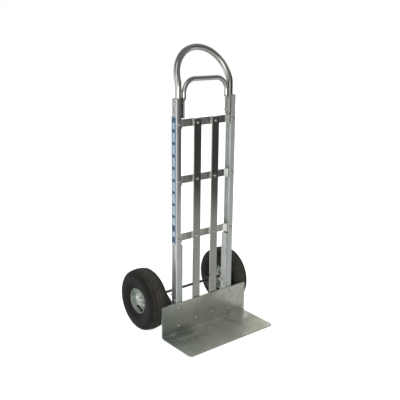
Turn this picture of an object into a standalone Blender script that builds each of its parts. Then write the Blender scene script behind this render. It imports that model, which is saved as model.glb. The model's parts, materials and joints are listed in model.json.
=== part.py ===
"""Two-wheel aluminium hand truck with a bent nose plate, two channel rails, three crossbars, two centre strips,
a loop handle, an inner grip handle and two pneumatic wheels on a fixed axle.

Metres, +Z up. +X is the truck's width, the nose plate points along -Y and the wheels are behind, at +Y.
The dimensions below are measured from the front face of the upright part of the nose plate (Y = 0) and from the
floor (Z = 0). The empty "truck_datum" then moves the whole truck along Y, so that the origin is the middle of its
footprint.
"""

import math

import bmesh
import bpy
from mathutils import Matrix, Vector

# ---------------------------------------------------------------- driving dimensions (metres)
GAP = 0.0003  # between pieces that touch

# nose plate
PLATE_W = 0.4572
PLATE_H = 0.1420
PLATE_D = 0.1880
PLATE_T = 0.0055
PLATE_BEND_R = 0.0070  # inside radius
PLATE_TOE_R = 0.0160  # toe corners
PLATE_TOP_R = 0.0050  # upper corners

# rails: channels that open inward
RAIL_OUT = 0.1526
RAIL_IN = 0.1286
RAIL_F = 0.0058
RAIL_B = 0.0400
RAIL_T = 0.0030
RAIL_Z0 = 0.0120
RAIL_Z1 = 0.9870
RAIL_CORNER_R = 0.0022
GROOVE_Y0 = 0.0190
GROOVE_Y1 = 0.0305
GROOVE_D = 0.0015

# centre strips
STRIP_X = 0.0460
STRIP_W = 0.0370
STRIP_T = 0.0050
STRIP_Z0 = 0.0160
STRIP_Z1 = 0.9040
STRIP_TOP_R = 0.0110

# crossbars
BAR_Z = (0.4180, 0.6610, 0.8890)
BAR_NAMES = ("lower_crossbar", "middle_crossbar", "upper_crossbar")
BAR_H = 0.0300
BAR_END_H = 0.0390
BAR_T = 0.0050
BAR_BACK = 0.0285
PAD_HALF = 0.0150
TAB_X = 0.1400
TAB_END = 0.1465

# loop handle
LOOP_R = 0.0127
LOOP_WALL = 0.0022
LOOP_X = 0.1312
LOOP_Y = 0.0222
LOOP_Z0 = 0.9120
LOOP_BEND_Z = 1.0274
LOOP_BEND_R = 0.0800
LOOP_LEAN = 0.3887
LOOP_ARCH_FROM = 1.0502
LOOP_ARCH_H = 0.1369

# inner grip handle
GRIP_R = 0.0095
GRIP_WALL = 0.0016
GRIP_X = 0.1085
GRIP_Y = 0.0170
GRIP_Z0 = 0.9100
GRIP_TOP = 1.0592
GRIP_CORNER_R = 0.0539
GRIP_FLAT_Z = 0.9840  # the legs are pressed flat below this height
GRIP_FLAT_X = 0.1145
GRIP_FLAT_T = 0.0070
GRIP_FLAT_W = 0.0250
GRIP_BOLT_Z = (0.9280, 0.9680)

# axle and its brackets
AXLE_Y = 0.1404
AXLE_Z = 0.1325
AXLE_R = 0.0060
AXLE_END = 0.2424
COLLAR_X0 = 0.1874
COLLAR_X1 = 0.1916
COLLAR_R = 0.0090
BRACKET_X0 = 0.1195
BRACKET_X1 = 0.1281
BRACKET_TOP = 0.3920
BRACKET_BOLTS = ((0.0325, 0.1700), (0.0195, 0.1500), (0.0325, 0.1260))  # (Y, Z)

# wheels
WHEEL_X = 0.2219
TYRE_R = AXLE_Z
HUB_R = 0.0165
DISC_U = 0.0062
SHEET_T = 0.0022

# bolts
BOLT_R = 0.0036
HOLE_R = 0.0044
HEAD_R = 0.0068
HEAD_H = 0.0036
NUT_R = 0.0066
NUT_H = 0.0052
PLATE_BOLT_Z = (0.0380, 0.1200)
PLATE_STRIP_BOLT_Z = 0.0490

# label
LABEL_Y0 = 0.0082
LABEL_Y1 = 0.0376
LABEL_Z0 = 0.3980
LABEL_Z1 = 0.9180
LABEL_T = 0.0004

DATUM_Y = -(AXLE_Y + TYRE_R - PLATE_D) / 2.0  # the footprint's middle goes to the origin

SIDES = (("left", -1.0), ("right", 1.0))


# ---------------------------------------------------------------- helpers
def clear():
    for obj in list(bpy.data.objects):
        bpy.data.objects.remove(obj, do_unlink=True)


def material(name, rgb, metallic, roughness):
    mat = bpy.data.materials.new(name)
    mat.use_nodes = True
    bsdf = next(n for n in mat.node_tree.nodes if n.type == "BSDF_PRINCIPLED")
    bsdf.inputs["Base Color"].default_value = (*rgb, 1.0)
    bsdf.inputs["Metallic"].default_value = metallic
    bsdf.inputs["Roughness"].default_value = roughness
    mat.diffuse_color = (*rgb, 1.0)
    return mat


def mesh_from(bm, name):
    bmesh.ops.remove_doubles(bm, verts=bm.verts, dist=1e-7)
    bmesh.ops.recalc_face_normals(bm, faces=bm.faces)
    mesh = bpy.data.meshes.new(name)
    bm.to_mesh(mesh)
    bm.free()
    return mesh


def place(name, mesh, mat=None, location=(0, 0, 0), rotation=(0, 0, 0), smooth=None):
    obj = bpy.data.objects.new(name, mesh)
    bpy.context.scene.collection.objects.link(obj)
    obj.location = location
    obj.rotation_euler = rotation
    if mat is not None and not mesh.materials:
        mesh.materials.append(mat)
    if smooth is not None:
        mesh.shade_smooth()
        mesh.set_sharp_from_angle(angle=math.radians(smooth))
    obj.parent = DATUM
    return obj


def cut(obj, cutter):
    """Takes the cutter's volume out of obj when the object is evaluated."""
    cutter.hide_render = True
    cutter.display_type = "WIRE"
    mod = obj.modifiers.new("cut", "BOOLEAN")
    mod.operation = "DIFFERENCE"
    mod.solver = "EXACT"
    mod.object = cutter
    return obj


def join(obj, other):
    """Unites another closed solid with obj when the object is evaluated."""
    other.hide_render = True
    other.display_type = "WIRE"
    mod = obj.modifiers.new("join", "BOOLEAN")
    mod.operation = "UNION"
    mod.solver = "EXACT"
    mod.object = other
    return obj


def to_xyz(axis, a, b, w):
    """A point of an outline (a, b) at depth w along the named axis."""
    if axis == "X":
        return Vector((w, a, b))
    if axis == "Y":
        return Vector((a, w, b))
    return Vector((a, b, w))


def add_prism(bm, outline, axis, lo, hi):
    low = [bm.verts.new(to_xyz(axis, a, b, lo)) for a, b in outline]
    high = [bm.verts.new(to_xyz(axis, a, b, hi)) for a, b in outline]
    n = len(outline)
    bm.faces.new(low[::-1])
    bm.faces.new(high)
    for i in range(n):
        j = (i + 1) % n
        bm.faces.new((low[i], low[j], high[j], high[i]))


def prism(outline, axis, lo, hi, name="prism"):
    bm = bmesh.new()
    add_prism(bm, outline, axis, lo, hi)
    return mesh_from(bm, name)


def circle(a, b, r, n, phase=0.5):
    return [
        (a + r * math.cos(2 * math.pi * (i + phase) / n), b + r * math.sin(2 * math.pi * (i + phase) / n))
        for i in range(n)
    ]


def arc(a, b, r, start, end, n):
    """Points on an arc, angles in degrees, both ends included."""
    return [
        (
            a + r * math.cos(math.radians(start + (end - start) * i / n)),
            b + r * math.sin(math.radians(start + (end - start) * i / n)),
        )
        for i in range(n + 1)
    ]


def holes(places, axis, lo, hi, name, r=HOLE_R, n=8):
    """One cutter with a round bar at each place."""
    bm = bmesh.new()
    for a, b in places:
        add_prism(bm, circle(a, b, r, n), axis, lo, hi)
    return place(name, mesh_from(bm, name))


def lathe(profile, segments, name="lathe", closed=True, phase=0.0):
    """Turns a profile of (u, r) points about the X axis. A closed profile makes a ring; an open one starts and ends
    on the axis."""
    bm = bmesh.new()
    rings = []
    for u, r in profile:
        if r < 1e-9:
            rings.append([bm.verts.new((u, 0, 0))])
            continue
        rings.append(
            [
                bm.verts.new(
                    (
                        u,
                        r * math.cos(2 * math.pi * (i + phase) / segments),
                        r * math.sin(2 * math.pi * (i + phase) / segments),
                    )
                )
                for i in range(segments)
            ]
        )
    count = len(rings)
    for k in range(count if closed else count - 1):
        one, two = rings[k], rings[(k + 1) % count]
        for i in range(segments):
            j = (i + 1) % segments
            if len(one) == 1:
                bm.faces.new((one[0], two[i], two[j]))
            elif len(two) == 1:
                bm.faces.new((one[i], two[0], one[j]))
            else:
                bm.faces.new((one[i], two[i], two[j], one[j]))
    return mesh_from(bm, name)


def sheet_profile(line, t):
    """A closed profile of thickness t about a centre line of (u, r) points."""
    left, right = [], []
    for i, (u, r) in enumerate(line):
        before = line[max(i - 1, 0)]
        after = line[min(i + 1, len(line) - 1)]
        d1 = Vector((u - before[0], r - before[1]))
        d2 = Vector((after[0] - u, after[1] - r))
        if d1.length < 1e-9:
            d1 = d2
        if d2.length < 1e-9:
            d2 = d1
        n1 = Vector((-d1.y, d1.x)).normalized()
        n2 = Vector((-d2.y, d2.x)).normalized()
        n = (n1 + n2).normalized()
        n *= (t / 2) / max(n.dot(n1), 0.5)
        left.append((u + n.x, r + n.y))
        right.append((u - n.x, r - n.y))
    return left + right[::-1]


def tube(path, sections, name):
    """A hollow tube, open at both ends. path holds points, and sections holds for each point
    (normal, half size along it, half size across it, wall)."""
    bm = bmesh.new()
    seg = TUBE_SEGMENTS
    outer, inner = [], []
    for i, p in enumerate(path):
        t = (path[min(i + 1, len(path) - 1)] - path[max(i - 1, 0)]).normalized()
        n, along, across, wall = sections[i]
        n = (n - t * n.dot(t)).normalized()
        b = t.cross(n)
        ring_o, ring_i = [], []
        for k in range(seg):
            c, s = math.cos(2 * math.pi * (k + 0.5) / seg), math.sin(2 * math.pi * (k + 0.5) / seg)
            ring_o.append(bm.verts.new(p + n * (c * along) + b * (s * across)))
            ring_i.append(bm.verts.new(p + n * (c * (along - wall)) + b * (s * (across - wall))))
        outer.append(ring_o)
        inner.append(ring_i)
    for rings, flip in ((outer, False), (inner, True)):
        for i in range(len(rings) - 1):
            for k in range(seg):
                j = (k + 1) % seg
                quad = (rings[i][k], rings[i][j], rings[i + 1][j], rings[i + 1][k])
                bm.faces.new(quad[::-1] if flip else quad)
    for end in (0, -1):
        for k in range(seg):
            j = (k + 1) % seg
            quad = (outer[end][k], inner[end][k], inner[end][j], outer[end][j])
            bm.faces.new(quad if end == 0 else quad[::-1])
    return mesh_from(bm, name)


TUBE_SEGMENTS = 10

BOLT_MESHES = {}


def bolt(name, at, axis, grip, mat, head_r=HEAD_R, nut_h=NUT_H, head_h=HEAD_H):
    """A round-head bolt with its nut, on the local X axis: the head's underside is at 0 and the nut starts at grip."""
    key = (round(grip, 6), head_r, nut_h, head_h, mat.name)
    if key not in BOLT_MESHES:
        profile = [
            (-head_h, 0.0),
            (-head_h * 0.86, head_r * 0.55),
            (-head_h * 0.30, head_r),
            (0.0, head_r),
            (0.0, BOLT_R),
            (grip, BOLT_R),
            (grip, NUT_R),
            (grip + nut_h, NUT_R),
            (grip + nut_h, BOLT_R),
            (grip + nut_h + 0.0012, 0.0),
        ]
        mesh = lathe(profile, 6, "bolt", closed=False)
        mesh.materials.append(mat)
        mesh.shade_smooth()
        mesh.set_sharp_from_angle(angle=math.radians(35))
        BOLT_MESHES[key] = mesh
    turn = {"+X": (0, 0, 0), "-X": (0, 0, math.pi), "+Y": (0, 0, math.pi / 2)}[axis]
    return place(name, BOLT_MESHES[key], None, at, turn)


# ---------------------------------------------------------------- the pieces
def nose_plate(mat):
    """The bent plate: an upright part that the rails and strips are bolted to, and the toe on the floor."""
    ri, ro = PLATE_BEND_R, PLATE_BEND_R + PLATE_T
    cy, cz = PLATE_T - ro, ro
    outline = [(PLATE_T, PLATE_H), (0.0, PLATE_H)]
    outline += arc(cy, cz, ri, 0, -90, 5)
    outline += [(-PLATE_D, PLATE_T), (-PLATE_D, 0.0)]
    outline += arc(cy, cz, ro, -90, 0, 5)
    obj = place("nose_plate", prism(outline, "X", -PLATE_W / 2, PLATE_W / 2), mat, smooth=30)
    bm = bmesh.new()
    w, e = PLATE_W / 2, 0.004
    for s in (-1, 1):
        r = PLATE_TOE_R
        corner = arc(s * (w - r), -PLATE_D + r, r, -90, -90 + s * 90, 6)
        add_prism(bm, corner + [(s * (w + e), -PLATE_D + r), (s * (w + e), -PLATE_D - e), (s * (w - r), -PLATE_D - e)],
                  "Z", -e, PLATE_T + e)
        r = PLATE_TOP_R
        corner = arc(s * (w - r), PLATE_H - r, r, 90, 90 - s * 90, 3)
        add_prism(bm, corner + [(s * (w + e), PLATE_H - r), (s * (w + e), PLATE_H + e), (s * (w - r), PLATE_H + e)],
                  "Y", -e, PLATE_T + e)
    cut(obj, place("nose_plate_corners", mesh_from(bm, "corners")))
    spots = [(s * TAB_X, z) for s in (-1, 1) for z in PLATE_BOLT_Z]
    spots += [(s * STRIP_X, PLATE_STRIP_BOLT_Z) for s in (-1, 1)]
    cut(obj, holes(spots, "Y", -0.01, PLATE_T + 0.01, "nose_plate_holes"))


def rail(side, s, mat):
    """A channel extrusion: an outer web with a shallow groove, and a flange in front and behind."""
    r, n = RAIL_CORNER_R, 3
    out, inn, t = RAIL_OUT, RAIL_IN, RAIL_T
    outline = [(inn, RAIL_F)]
    outline += arc(out - r, RAIL_F + r, r, -90, 0, n)
    outline += [(out, GROOVE_Y0), (out - GROOVE_D, GROOVE_Y0 + GROOVE_D), (out - GROOVE_D, GROOVE_Y1 - GROOVE_D), (out, GROOVE_Y1)]
    outline += arc(out - r, RAIL_B - r, r, 0, 90, n)
    outline += [(inn, RAIL_B), (inn, RAIL_B - t), (out - t, RAIL_B - t), (out - t, RAIL_F + t), (inn, RAIL_F + t)]
    obj = place(f"{side}_rail", prism([(s * x, y) for x, y in outline], "Z", RAIL_Z0, RAIL_Z1), mat, smooth=35)
    front = [(s * TAB_X, z) for z in BAR_Z + PLATE_BOLT_Z]
    cut(obj, holes(front, "Y", RAIL_F - 0.004, RAIL_F + 0.007, f"{side}_rail_front_holes"))
    web = [(LOOP_Y - 0.0025, z) for z in GRIP_BOLT_Z] + list(BRACKET_BOLTS)
    lo, hi = sorted((s * (RAIL_OUT - 0.007), s * (RAIL_OUT + 0.004)))
    cut(obj, holes(web, "X", lo, hi, f"{side}_rail_web_holes"))


def crossbar(name, z, mat):
    """A bar whose ends step forward behind the rails' front flanges, with a raised pad behind each strip."""
    front_y = STRIP_FACE + STRIP_T + GAP  # the pads' front face
    tab_f = RAIL_F + RAIL_T + GAP
    tab_b = tab_f + BAR_T
    bar_f = BAR_BACK - BAR_T
    half = [
        (STRIP_X - PAD_HALF, bar_f),
        (STRIP_X - PAD_HALF + 0.001, front_y),
        (STRIP_X + PAD_HALF - 0.001, front_y),
        (STRIP_X + PAD_HALF, bar_f),
        (0.1080, bar_f),
        (0.1110, bar_f - 0.0012),
        (0.1215, tab_f + 0.0012),
        (0.1245, tab_f),
        (TAB_END, tab_f),
        (TAB_END, tab_b),
        (0.1262, tab_b),
        (0.1245, tab_b + 0.0008),
        (0.1135, BAR_BACK - 0.0008),
        (0.1110, BAR_BACK),
    ]
    outline = [(-x, y) for x, y in half[::-1]] + half
    h = BAR_END_H / 2
    obj = place(name, prism(outline, "Z", z - h, z + h), mat, smooth=30)
    bm = bmesh.new()
    m, e = BAR_H / 2, 0.006
    for up in (-1, 1):
        edge = [(-0.1110, z + up * m), (-0.1230, z + up * (h + 0.0005)), (-0.1230, z + up * (h + e)),
                (0.1230, z + up * (h + e)), (0.1230, z + up * (h + 0.0005)), (0.1110, z + up * m)]
        add_prism(bm, edge, "Y", front_y - 0.006, BAR_BACK + 0.006)
    cut(obj, place(f"{name}_waist", mesh_from(bm, "waist")))
    spots = [(s * x, z) for s in (-1, 1) for x in (STRIP_X, TAB_X)]
    cut(obj, holes(spots, "Y", 0.004, BAR_BACK + 0.006, f"{name}_holes"))


STRIP_FACE = RAIL_F


def center_strip(side, s, mat):
    """A flat bar with a rounded top, held on the front of the crossbars and behind the nose plate."""
    w, r = STRIP_W / 2, STRIP_TOP_R
    x = s * STRIP_X
    outline = [(x - w, STRIP_Z0), (x + w, STRIP_Z0)]
    outline += arc(x + w - r, STRIP_Z1 - r, r, 0, 90, 5)
    outline += arc(x - w + r, STRIP_Z1 - r, r, 90, 180, 5)
    obj = place(f"{side}_center_strip", prism(outline, "Y", STRIP_FACE, STRIP_FACE + STRIP_T), mat, smooth=30)
    spots = [(x, z) for z in BAR_Z + (PLATE_STRIP_BOLT_Z,)]
    cut(obj, holes(spots, "Y", STRIP_FACE - 0.01, STRIP_FACE + STRIP_T + 0.01, f"{side}_strip_holes"))


def loop_point(x, t):
    """Bends the flat outline of the loop back: t is the length along the legs."""
    turn = LOOP_BEND_R * LOOP_LEAN
    if t <= LOOP_BEND_Z:
        y, z = 0.0, t
    elif t <= LOOP_BEND_Z + turn:
        a = (t - LOOP_BEND_Z) / LOOP_BEND_R
        y, z = LOOP_BEND_R * (1 - math.cos(a)), LOOP_BEND_Z + LOOP_BEND_R * math.sin(a)
    else:
        rest = t - LOOP_BEND_Z - turn
        y = LOOP_BEND_R * (1 - math.cos(LOOP_LEAN)) + rest * math.sin(LOOP_LEAN)
        z = LOOP_BEND_Z + LOOP_BEND_R * math.sin(LOOP_LEAN) + rest * math.cos(LOOP_LEAN)
    return Vector((x, LOOP_Y + y, z))


def loop_handle(mat):
    """The round tube that joins both rails over the top, bent back from the rails."""
    flat = [(-LOOP_X, LOOP_Z0), (-LOOP_X, 0.97), (-LOOP_X, 1.018), (-LOOP_X, 1.034)]
    for i in range(21):
        a = math.pi * i / 20
        flat.append((-LOOP_X * math.cos(a), LOOP_ARCH_FROM + LOOP_ARCH_H * math.sin(a)))
    flat += [(-x, t) for x, t in flat[:4][::-1]]
    path = [loop_point(x, t) for x, t in flat]
    across = Vector((0, 1, 0))
    sections = [(across, LOOP_R, LOOP_R, LOOP_WALL) for _ in path]
    obj = place("loop_handle", tube(path, sections, "loop_handle"), mat, smooth=50)
    for side, s in SIDES:
        lo, hi = sorted((s * (LOOP_X - LOOP_R - 0.004), s * (LOOP_X + LOOP_R + 0.004)))
        cut(obj, holes([(LOOP_Y - 0.0025, z) for z in GRIP_BOLT_Z], "X", lo, hi, f"loop_{side}_holes"))


def grip_handle(mat):
    """The inner grip: a smaller round tube whose legs are pressed flat where they are bolted."""
    top, r = GRIP_TOP, GRIP_CORNER_R
    half = []
    for z in (GRIP_Z0, 0.9500, GRIP_FLAT_Z - 0.006, GRIP_FLAT_Z + 0.004, 0.9990):
        flat = min(max((GRIP_FLAT_Z + 0.004 - z) / 0.010, 0.0), 1.0)
        x = GRIP_X + (GRIP_FLAT_X - GRIP_X) * flat
        half.append((x, z, flat))
    for i in range(5):
        a = math.radians(90 * (i + 1) / 5)
        half.append((GRIP_X - r + r * math.cos(a), top - r + r * math.sin(a), 0.0))
    both = [(-x, z, f) for x, z, f in half] + [(x, z, f) for x, z, f in half[::-1]]
    path = [Vector((x, GRIP_Y, z)) for x, z, f in both]
    sections = []
    for x, z, f in both:
        wide = GRIP_R + (GRIP_FLAT_W / 2 - GRIP_R) * f
        thin = GRIP_R + (GRIP_FLAT_T / 2 - GRIP_R) * f
        sections.append((Vector((0, 1, 0)), wide, thin, GRIP_WALL))
    obj = place("grip_handle", tube(path, sections, "grip_handle"), mat, smooth=50)
    for side, s in SIDES:
        lo, hi = sorted((s * (GRIP_FLAT_X - 0.010), s * (GRIP_FLAT_X + 0.010)))
        cut(obj, holes([(LOOP_Y - 0.0025, z) for z in GRIP_BOLT_Z], "X", lo, hi, f"grip_{side}_holes"))


def axle_bracket(side, s, mat):
    """A cast bracket on the inner side of a rail, with a block that fills the channel and an arm back to the axle."""
    boss = 0.0160
    outline = [(0.0070, 0.0280), (0.0400, 0.0280), (0.0700, 0.0560)]
    outline += arc(AXLE_Y, AXLE_Z, boss, -51, 124, 9)
    outline += [(0.0400, 0.0850), (0.0400, BRACKET_TOP - 0.006), (0.0340, BRACKET_TOP),
                (0.0130, BRACKET_TOP), (0.0070, BRACKET_TOP - 0.006)]
    lo, hi = sorted((s * BRACKET_X0, s * BRACKET_X1))
    obj = place(f"{side}_axle_bracket", prism(outline, "X", lo, hi), mat, smooth=25)
    lo, hi = sorted((s * (BRACKET_X1 - 0.001), s * (RAIL_OUT - RAIL_T - GAP)))
    block = [(RAIL_F + RAIL_T + 0.0006, 0.1360), (RAIL_B - RAIL_T - 0.0006, 0.1360),
             (RAIL_B - RAIL_T - 0.0006, 0.1820), (RAIL_F + RAIL_T + 0.0006, 0.1820)]
    join(obj, place(f"{side}_bracket_block", prism(block, "X", lo, hi)))
    lo, hi = sorted((s * 0.110, s * 0.156))
    bm = bmesh.new()
    for y, z in BRACKET_BOLTS:
        add_prism(bm, circle(y, z, HOLE_R, 8), "X", lo, hi)
    add_prism(bm, circle(AXLE_Y, AXLE_Z, AXLE_R + 0.0005, 14), "X", lo, hi)
    cut(obj, place(f"{side}_bracket_holes", mesh_from(bm, "bracket_holes")))


def axle(mat):
    """The axle rod, with a shoulder inside each wheel."""
    c = 0.0008
    half = [(COLLAR_X0, AXLE_R), (COLLAR_X0, COLLAR_R), (COLLAR_X1, COLLAR_R), (COLLAR_X1, AXLE_R),
            (AXLE_END - c, AXLE_R), (AXLE_END, AXLE_R - c), (AXLE_END, 0.0)]
    profile = [(-u, r) for u, r in half[::-1]] + half
    place("axle", lathe(profile, 12, "axle", closed=False, phase=0.5), mat, (0, AXLE_Y, AXLE_Z), smooth=35)


def label(side, s, mat):
    """A thin label along the rail's outer face."""
    lo, hi = sorted((s * (RAIL_OUT + GAP), s * (RAIL_OUT + GAP + LABEL_T)))
    outline = [(LABEL_Y0, LABEL_Z0), (LABEL_Y1, LABEL_Z0), (LABEL_Y1, LABEL_Z1), (LABEL_Y0, LABEL_Z1)]
    place(f"{side}_rail_label", prism(outline, "X", lo, hi), mat)


TYRE_SEGMENTS = 28
RIM_SEGMENTS = 20

TYRE_OUTER = [
    (0.0290, 0.0534), (0.0300, 0.0590), (0.0412, 0.0760), (0.0446, 0.0935), (0.0425, 0.1100), (0.0330, 0.1250),
    (0.0110, TYRE_R),
]
TYRE_INNER = [(0.0215, 0.0534), (0.0345, 0.0790), (0.0375, 0.0935), (0.0345, 0.1080), (0.0210, 0.1210), (0.0, 0.1240)]
TUBE_OUTER = [(0.0, 0.0545), (0.0160, 0.0560), (0.0290, 0.0790), (0.0330, 0.0935), (0.0290, 0.1070), (0.0150, 0.1170), (0.0, 0.1200)]
TUBE_WALL = 0.0018
STEM_FROM = (0.0095, 0.0560)
STEM_TO = (0.0360, 0.0200)
STEM_R = 0.0040
STEM_BORE = 0.0014


def inset_profile(profile, d):
    """A closed convex profile moved inward by about d."""
    cu = sum(p[0] for p in profile) / len(profile)
    cr = sum(p[1] for p in profile) / len(profile)
    out = []
    for u, r in profile:
        v = Vector((u - cu, r - cr))
        v *= (v.length - d) / v.length
        out.append((cu + v.x, cr + v.y))
    return out


def stem_rod(name, radius, start, end, segments):
    """A round rod in the wheel's X-Z plane below the hub, from one (u, r) point to another."""
    a = Vector((start[0], 0, -start[1]))
    b = Vector((end[0], 0, -end[1]))
    t = (b - a).normalized()
    n = Vector((0, 1, 0))
    m = t.cross(n)
    bm = bmesh.new()
    rings = []
    for p in (a, b):
        rings.append(
            [
                bm.verts.new(p + n * (radius * math.cos(2 * math.pi * k / segments)) + m * (radius * math.sin(2 * math.pi * k / segments)))
                for k in range(segments)
            ]
        )
    bm.faces.new(rings[0][::-1])
    bm.faces.new(rings[1])
    for k in range(segments):
        j = (k + 1) % segments
        bm.faces.new((rings[0][k], rings[0][j], rings[1][j], rings[1][k]))
    return mesh_from(bm, name)


def wheel(side, s, mats):
    """One wheel, with its pieces on an empty at the wheel's centre. The local +X axis points outward."""
    pivot = bpy.data.objects.new(f"{side}_wheel_pivot", None)
    bpy.context.scene.collection.objects.link(pivot)
    pivot.parent = DATUM
    pivot.location = (s * WHEEL_X, AXLE_Y, AXLE_Z)
    pivot.rotation_euler = (0, 0, 0 if s > 0 else math.pi)

    def put(name, mesh, mat=None, smooth=None):
        obj = place(name, mesh, mat, smooth=smooth)
        obj.parent = pivot
        return obj

    tyre = TYRE_OUTER + [(-u, r) for u, r in TYRE_OUTER[::-1]]
    tyre += [(-u, r) for u, r in TYRE_INNER[:-1]] + TYRE_INNER[::-1]
    put(f"{side}_tyre", lathe(tyre, TYRE_SEGMENTS, "tyre"), mats["tyre"], smooth=40)

    ring = TUBE_OUTER + [(-u, r) for u, r in TUBE_OUTER[1:-1][::-1]]
    tube_obj = put(f"{side}_inner_tube", lathe(ring, 16, "inner_tube"), mats["tube"], smooth=60)
    join(tube_obj, put(f"{side}_valve_stem_form", stem_rod("stem", STEM_R, STEM_FROM, STEM_TO, 8)))
    cut(tube_obj, put(f"{side}_air_space", lathe(inset_profile(ring, TUBE_WALL), 16, "air")))
    reach = (STEM_FROM[0] - (STEM_TO[0] - STEM_FROM[0]) * 0.2, STEM_FROM[1] - (STEM_TO[1] - STEM_FROM[1]) * 0.2)
    beyond = (STEM_TO[0] + (STEM_TO[0] - STEM_FROM[0]) * 0.1, STEM_TO[1] + (STEM_TO[1] - STEM_FROM[1]) * 0.1)
    cut(tube_obj, put(f"{side}_valve_bore", stem_rod("bore", STEM_BORE, reach, beyond, 6)))

    flange = [(0.0335, 0.0562), (0.0329, 0.0540), (0.0305, 0.0517)]
    outer = flange + [(0.0150, 0.0505), (0.0085, 0.0485), (DISC_U, 0.0440), (DISC_U, HUB_R + GAP + 0.0001)]
    rim = put(f"{side}_rim_outer_half", lathe(sheet_profile(outer, SHEET_T), RIM_SEGMENTS, "rim_outer"), mats["rim"], smooth=40)
    cut(rim, put(f"{side}_valve_hole", stem_rod("valve_hole", STEM_R + 0.0007, STEM_FROM, STEM_TO, 12)))
    d = DISC_U - SHEET_T - GAP
    inner = [(-u, r) for u, r in flange] + [(-0.0050, 0.0505), (d - 0.0028, 0.0486), (d, 0.0440), (d, HUB_R + GAP + 0.0001)]
    put(f"{side}_rim_inner_half", lathe(sheet_profile(inner, SHEET_T), RIM_SEGMENTS, "rim_inner"), mats["rim"], smooth=40)

    hub = [(-0.0300, HUB_R - 0.0008), (-0.0292, HUB_R), (0.0162, HUB_R), (0.0170, HUB_R - 0.0008),
           (0.0170, 0.0143), (0.0085, 0.0143), (0.0085, 0.0120), (-0.0215, 0.0120), (-0.0215, 0.0143), (-0.0300, 0.0143)]
    put(f"{side}_hub", lathe(hub, 14, "hub"), mats["hub"], smooth=35)

    for where, face, back in (("outer", 0.0166, 0.0088), ("inner", -0.0296, -0.0218)):
        k = 0.0006 if face > back else -0.0006
        ring = [(back, 0.0064), (back, 0.0136), (face, 0.0136), (face, 0.0122), (face - k, 0.0117), (face - k, 0.0088),
                (face, 0.0083), (face, 0.0064)]
        put(f"{side}_{where}_bearing", lathe(ring, 12, "bearing"), mats["bearing"], smooth=30)


def axle_cap(side, s, mat):
    """A push-on cap over the end of the axle, which keeps the wheel on."""
    c0 = WHEEL_X + 0.0170 + GAP
    end = AXLE_END + GAP
    profile = [(c0, AXLE_R + GAP), (c0, 0.0100), (c0 + 0.0018, 0.0100), (c0 + 0.0024, 0.0086), (end + 0.0010, 0.0076),
               (end + 0.0022, 0.0050), (end + 0.0026, 0.0), (end, 0.0), (end, AXLE_R + GAP)]
    bm = bmesh.new()
    seg = 12
    rings = []
    for u, r in profile:
        count = seg if r > 1e-9 else 1
        rings.append([bm.verts.new((s * u, r * math.cos(2 * math.pi * (i + 0.5) / seg), r * math.sin(2 * math.pi * (i + 0.5) / seg))) for i in range(count)])
    for k in range(len(rings)):
        one, two = rings[k], rings[(k + 1) % len(rings)]
        if len(one) == 1 and len(two) == 1:
            continue
        for i in range(seg):
            j = (i + 1) % seg
            if len(one) == 1:
                bm.faces.new((one[0], two[i], two[j]))
            elif len(two) == 1:
                bm.faces.new((one[i], two[0], one[j]))
            else:
                bm.faces.new((one[i], two[i], two[j], one[j]))
    place(f"{side}_axle_cap", mesh_from(bm, "axle_cap"), mat, (0, AXLE_Y, AXLE_Z), smooth=35)


def fasteners(mat):
    for side, s in SIDES:
        for name, z in zip(BAR_NAMES, BAR_Z):
            where = name.split("_")[0]
            bolt(f"{side}_strip_{where}_bolt", (s * STRIP_X, STRIP_FACE - GAP, z), "+Y", BAR_BACK - STRIP_FACE + 2 * GAP, mat)
            bolt(f"{side}_rail_{where}_bolt", (s * TAB_X, RAIL_F - GAP, z), "+Y", RAIL_T + GAP + BAR_T + 2 * GAP, mat)
        for where, z in zip(("low", "high"), PLATE_BOLT_Z):
            bolt(f"{side}_nose_rail_{where}_bolt", (s * TAB_X, -GAP, z), "+Y", RAIL_F + RAIL_T + 2 * GAP, mat)
        bolt(f"{side}_nose_strip_bolt", (s * STRIP_X, -GAP, PLATE_STRIP_BOLT_Z), "+Y", STRIP_FACE + STRIP_T + 2 * GAP, mat)
        toward = "-X" if s > 0 else "+X"
        for where, z in zip(("low", "high"), GRIP_BOLT_Z):
            bolt(f"{side}_grip_{where}_bolt", (s * (RAIL_OUT + GAP), LOOP_Y - 0.0025, z), toward,
                 RAIL_OUT + GAP - (GRIP_FLAT_X - GRIP_FLAT_T / 2) + GAP, mat)
        for where, (y, z) in zip(("top", "middle", "bottom"), BRACKET_BOLTS):
            bolt(f"{side}_bracket_{where}_bolt", (s * (RAIL_OUT + GAP), y, z), toward, RAIL_OUT + GAP - BRACKET_X0 + GAP, mat)


# ---------------------------------------------------------------- build
clear()
DATUM = bpy.data.objects.new("truck_datum", None)
bpy.context.scene.collection.objects.link(DATUM)
DATUM.location = (0.0, DATUM_Y, 0.0)

PLATE = material("nose_plate_aluminium", (0.42, 0.43, 0.41), 1.0, 0.38)
EXTRUSION = material("rail_aluminium", (0.60, 0.62, 0.61), 1.0, 0.34)
POLISHED = material("polished_tube", (0.62, 0.63, 0.62), 1.0, 0.14)
STRIP = material("strip_aluminium", (0.46, 0.46, 0.44), 1.0, 0.28)
CAST = material("cast_aluminium", (0.50, 0.51, 0.50), 1.0, 0.45)
STEEL = material("axle_steel", (0.24, 0.24, 0.23), 1.0, 0.40)
ZINC = material("zinc_plated_steel", (0.56, 0.57, 0.56), 1.0, 0.30)
RIM = material("galvanised_rim", (0.52, 0.53, 0.52), 1.0, 0.36)
RUBBER = material("tyre_rubber", (0.030, 0.029, 0.028), 0.0, 0.75)
BUTYL = material("inner_tube_rubber", (0.020, 0.020, 0.020), 0.0, 0.60)
LABEL = material("label_film", (0.12, 0.24, 0.42), 0.0, 0.35)

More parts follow.
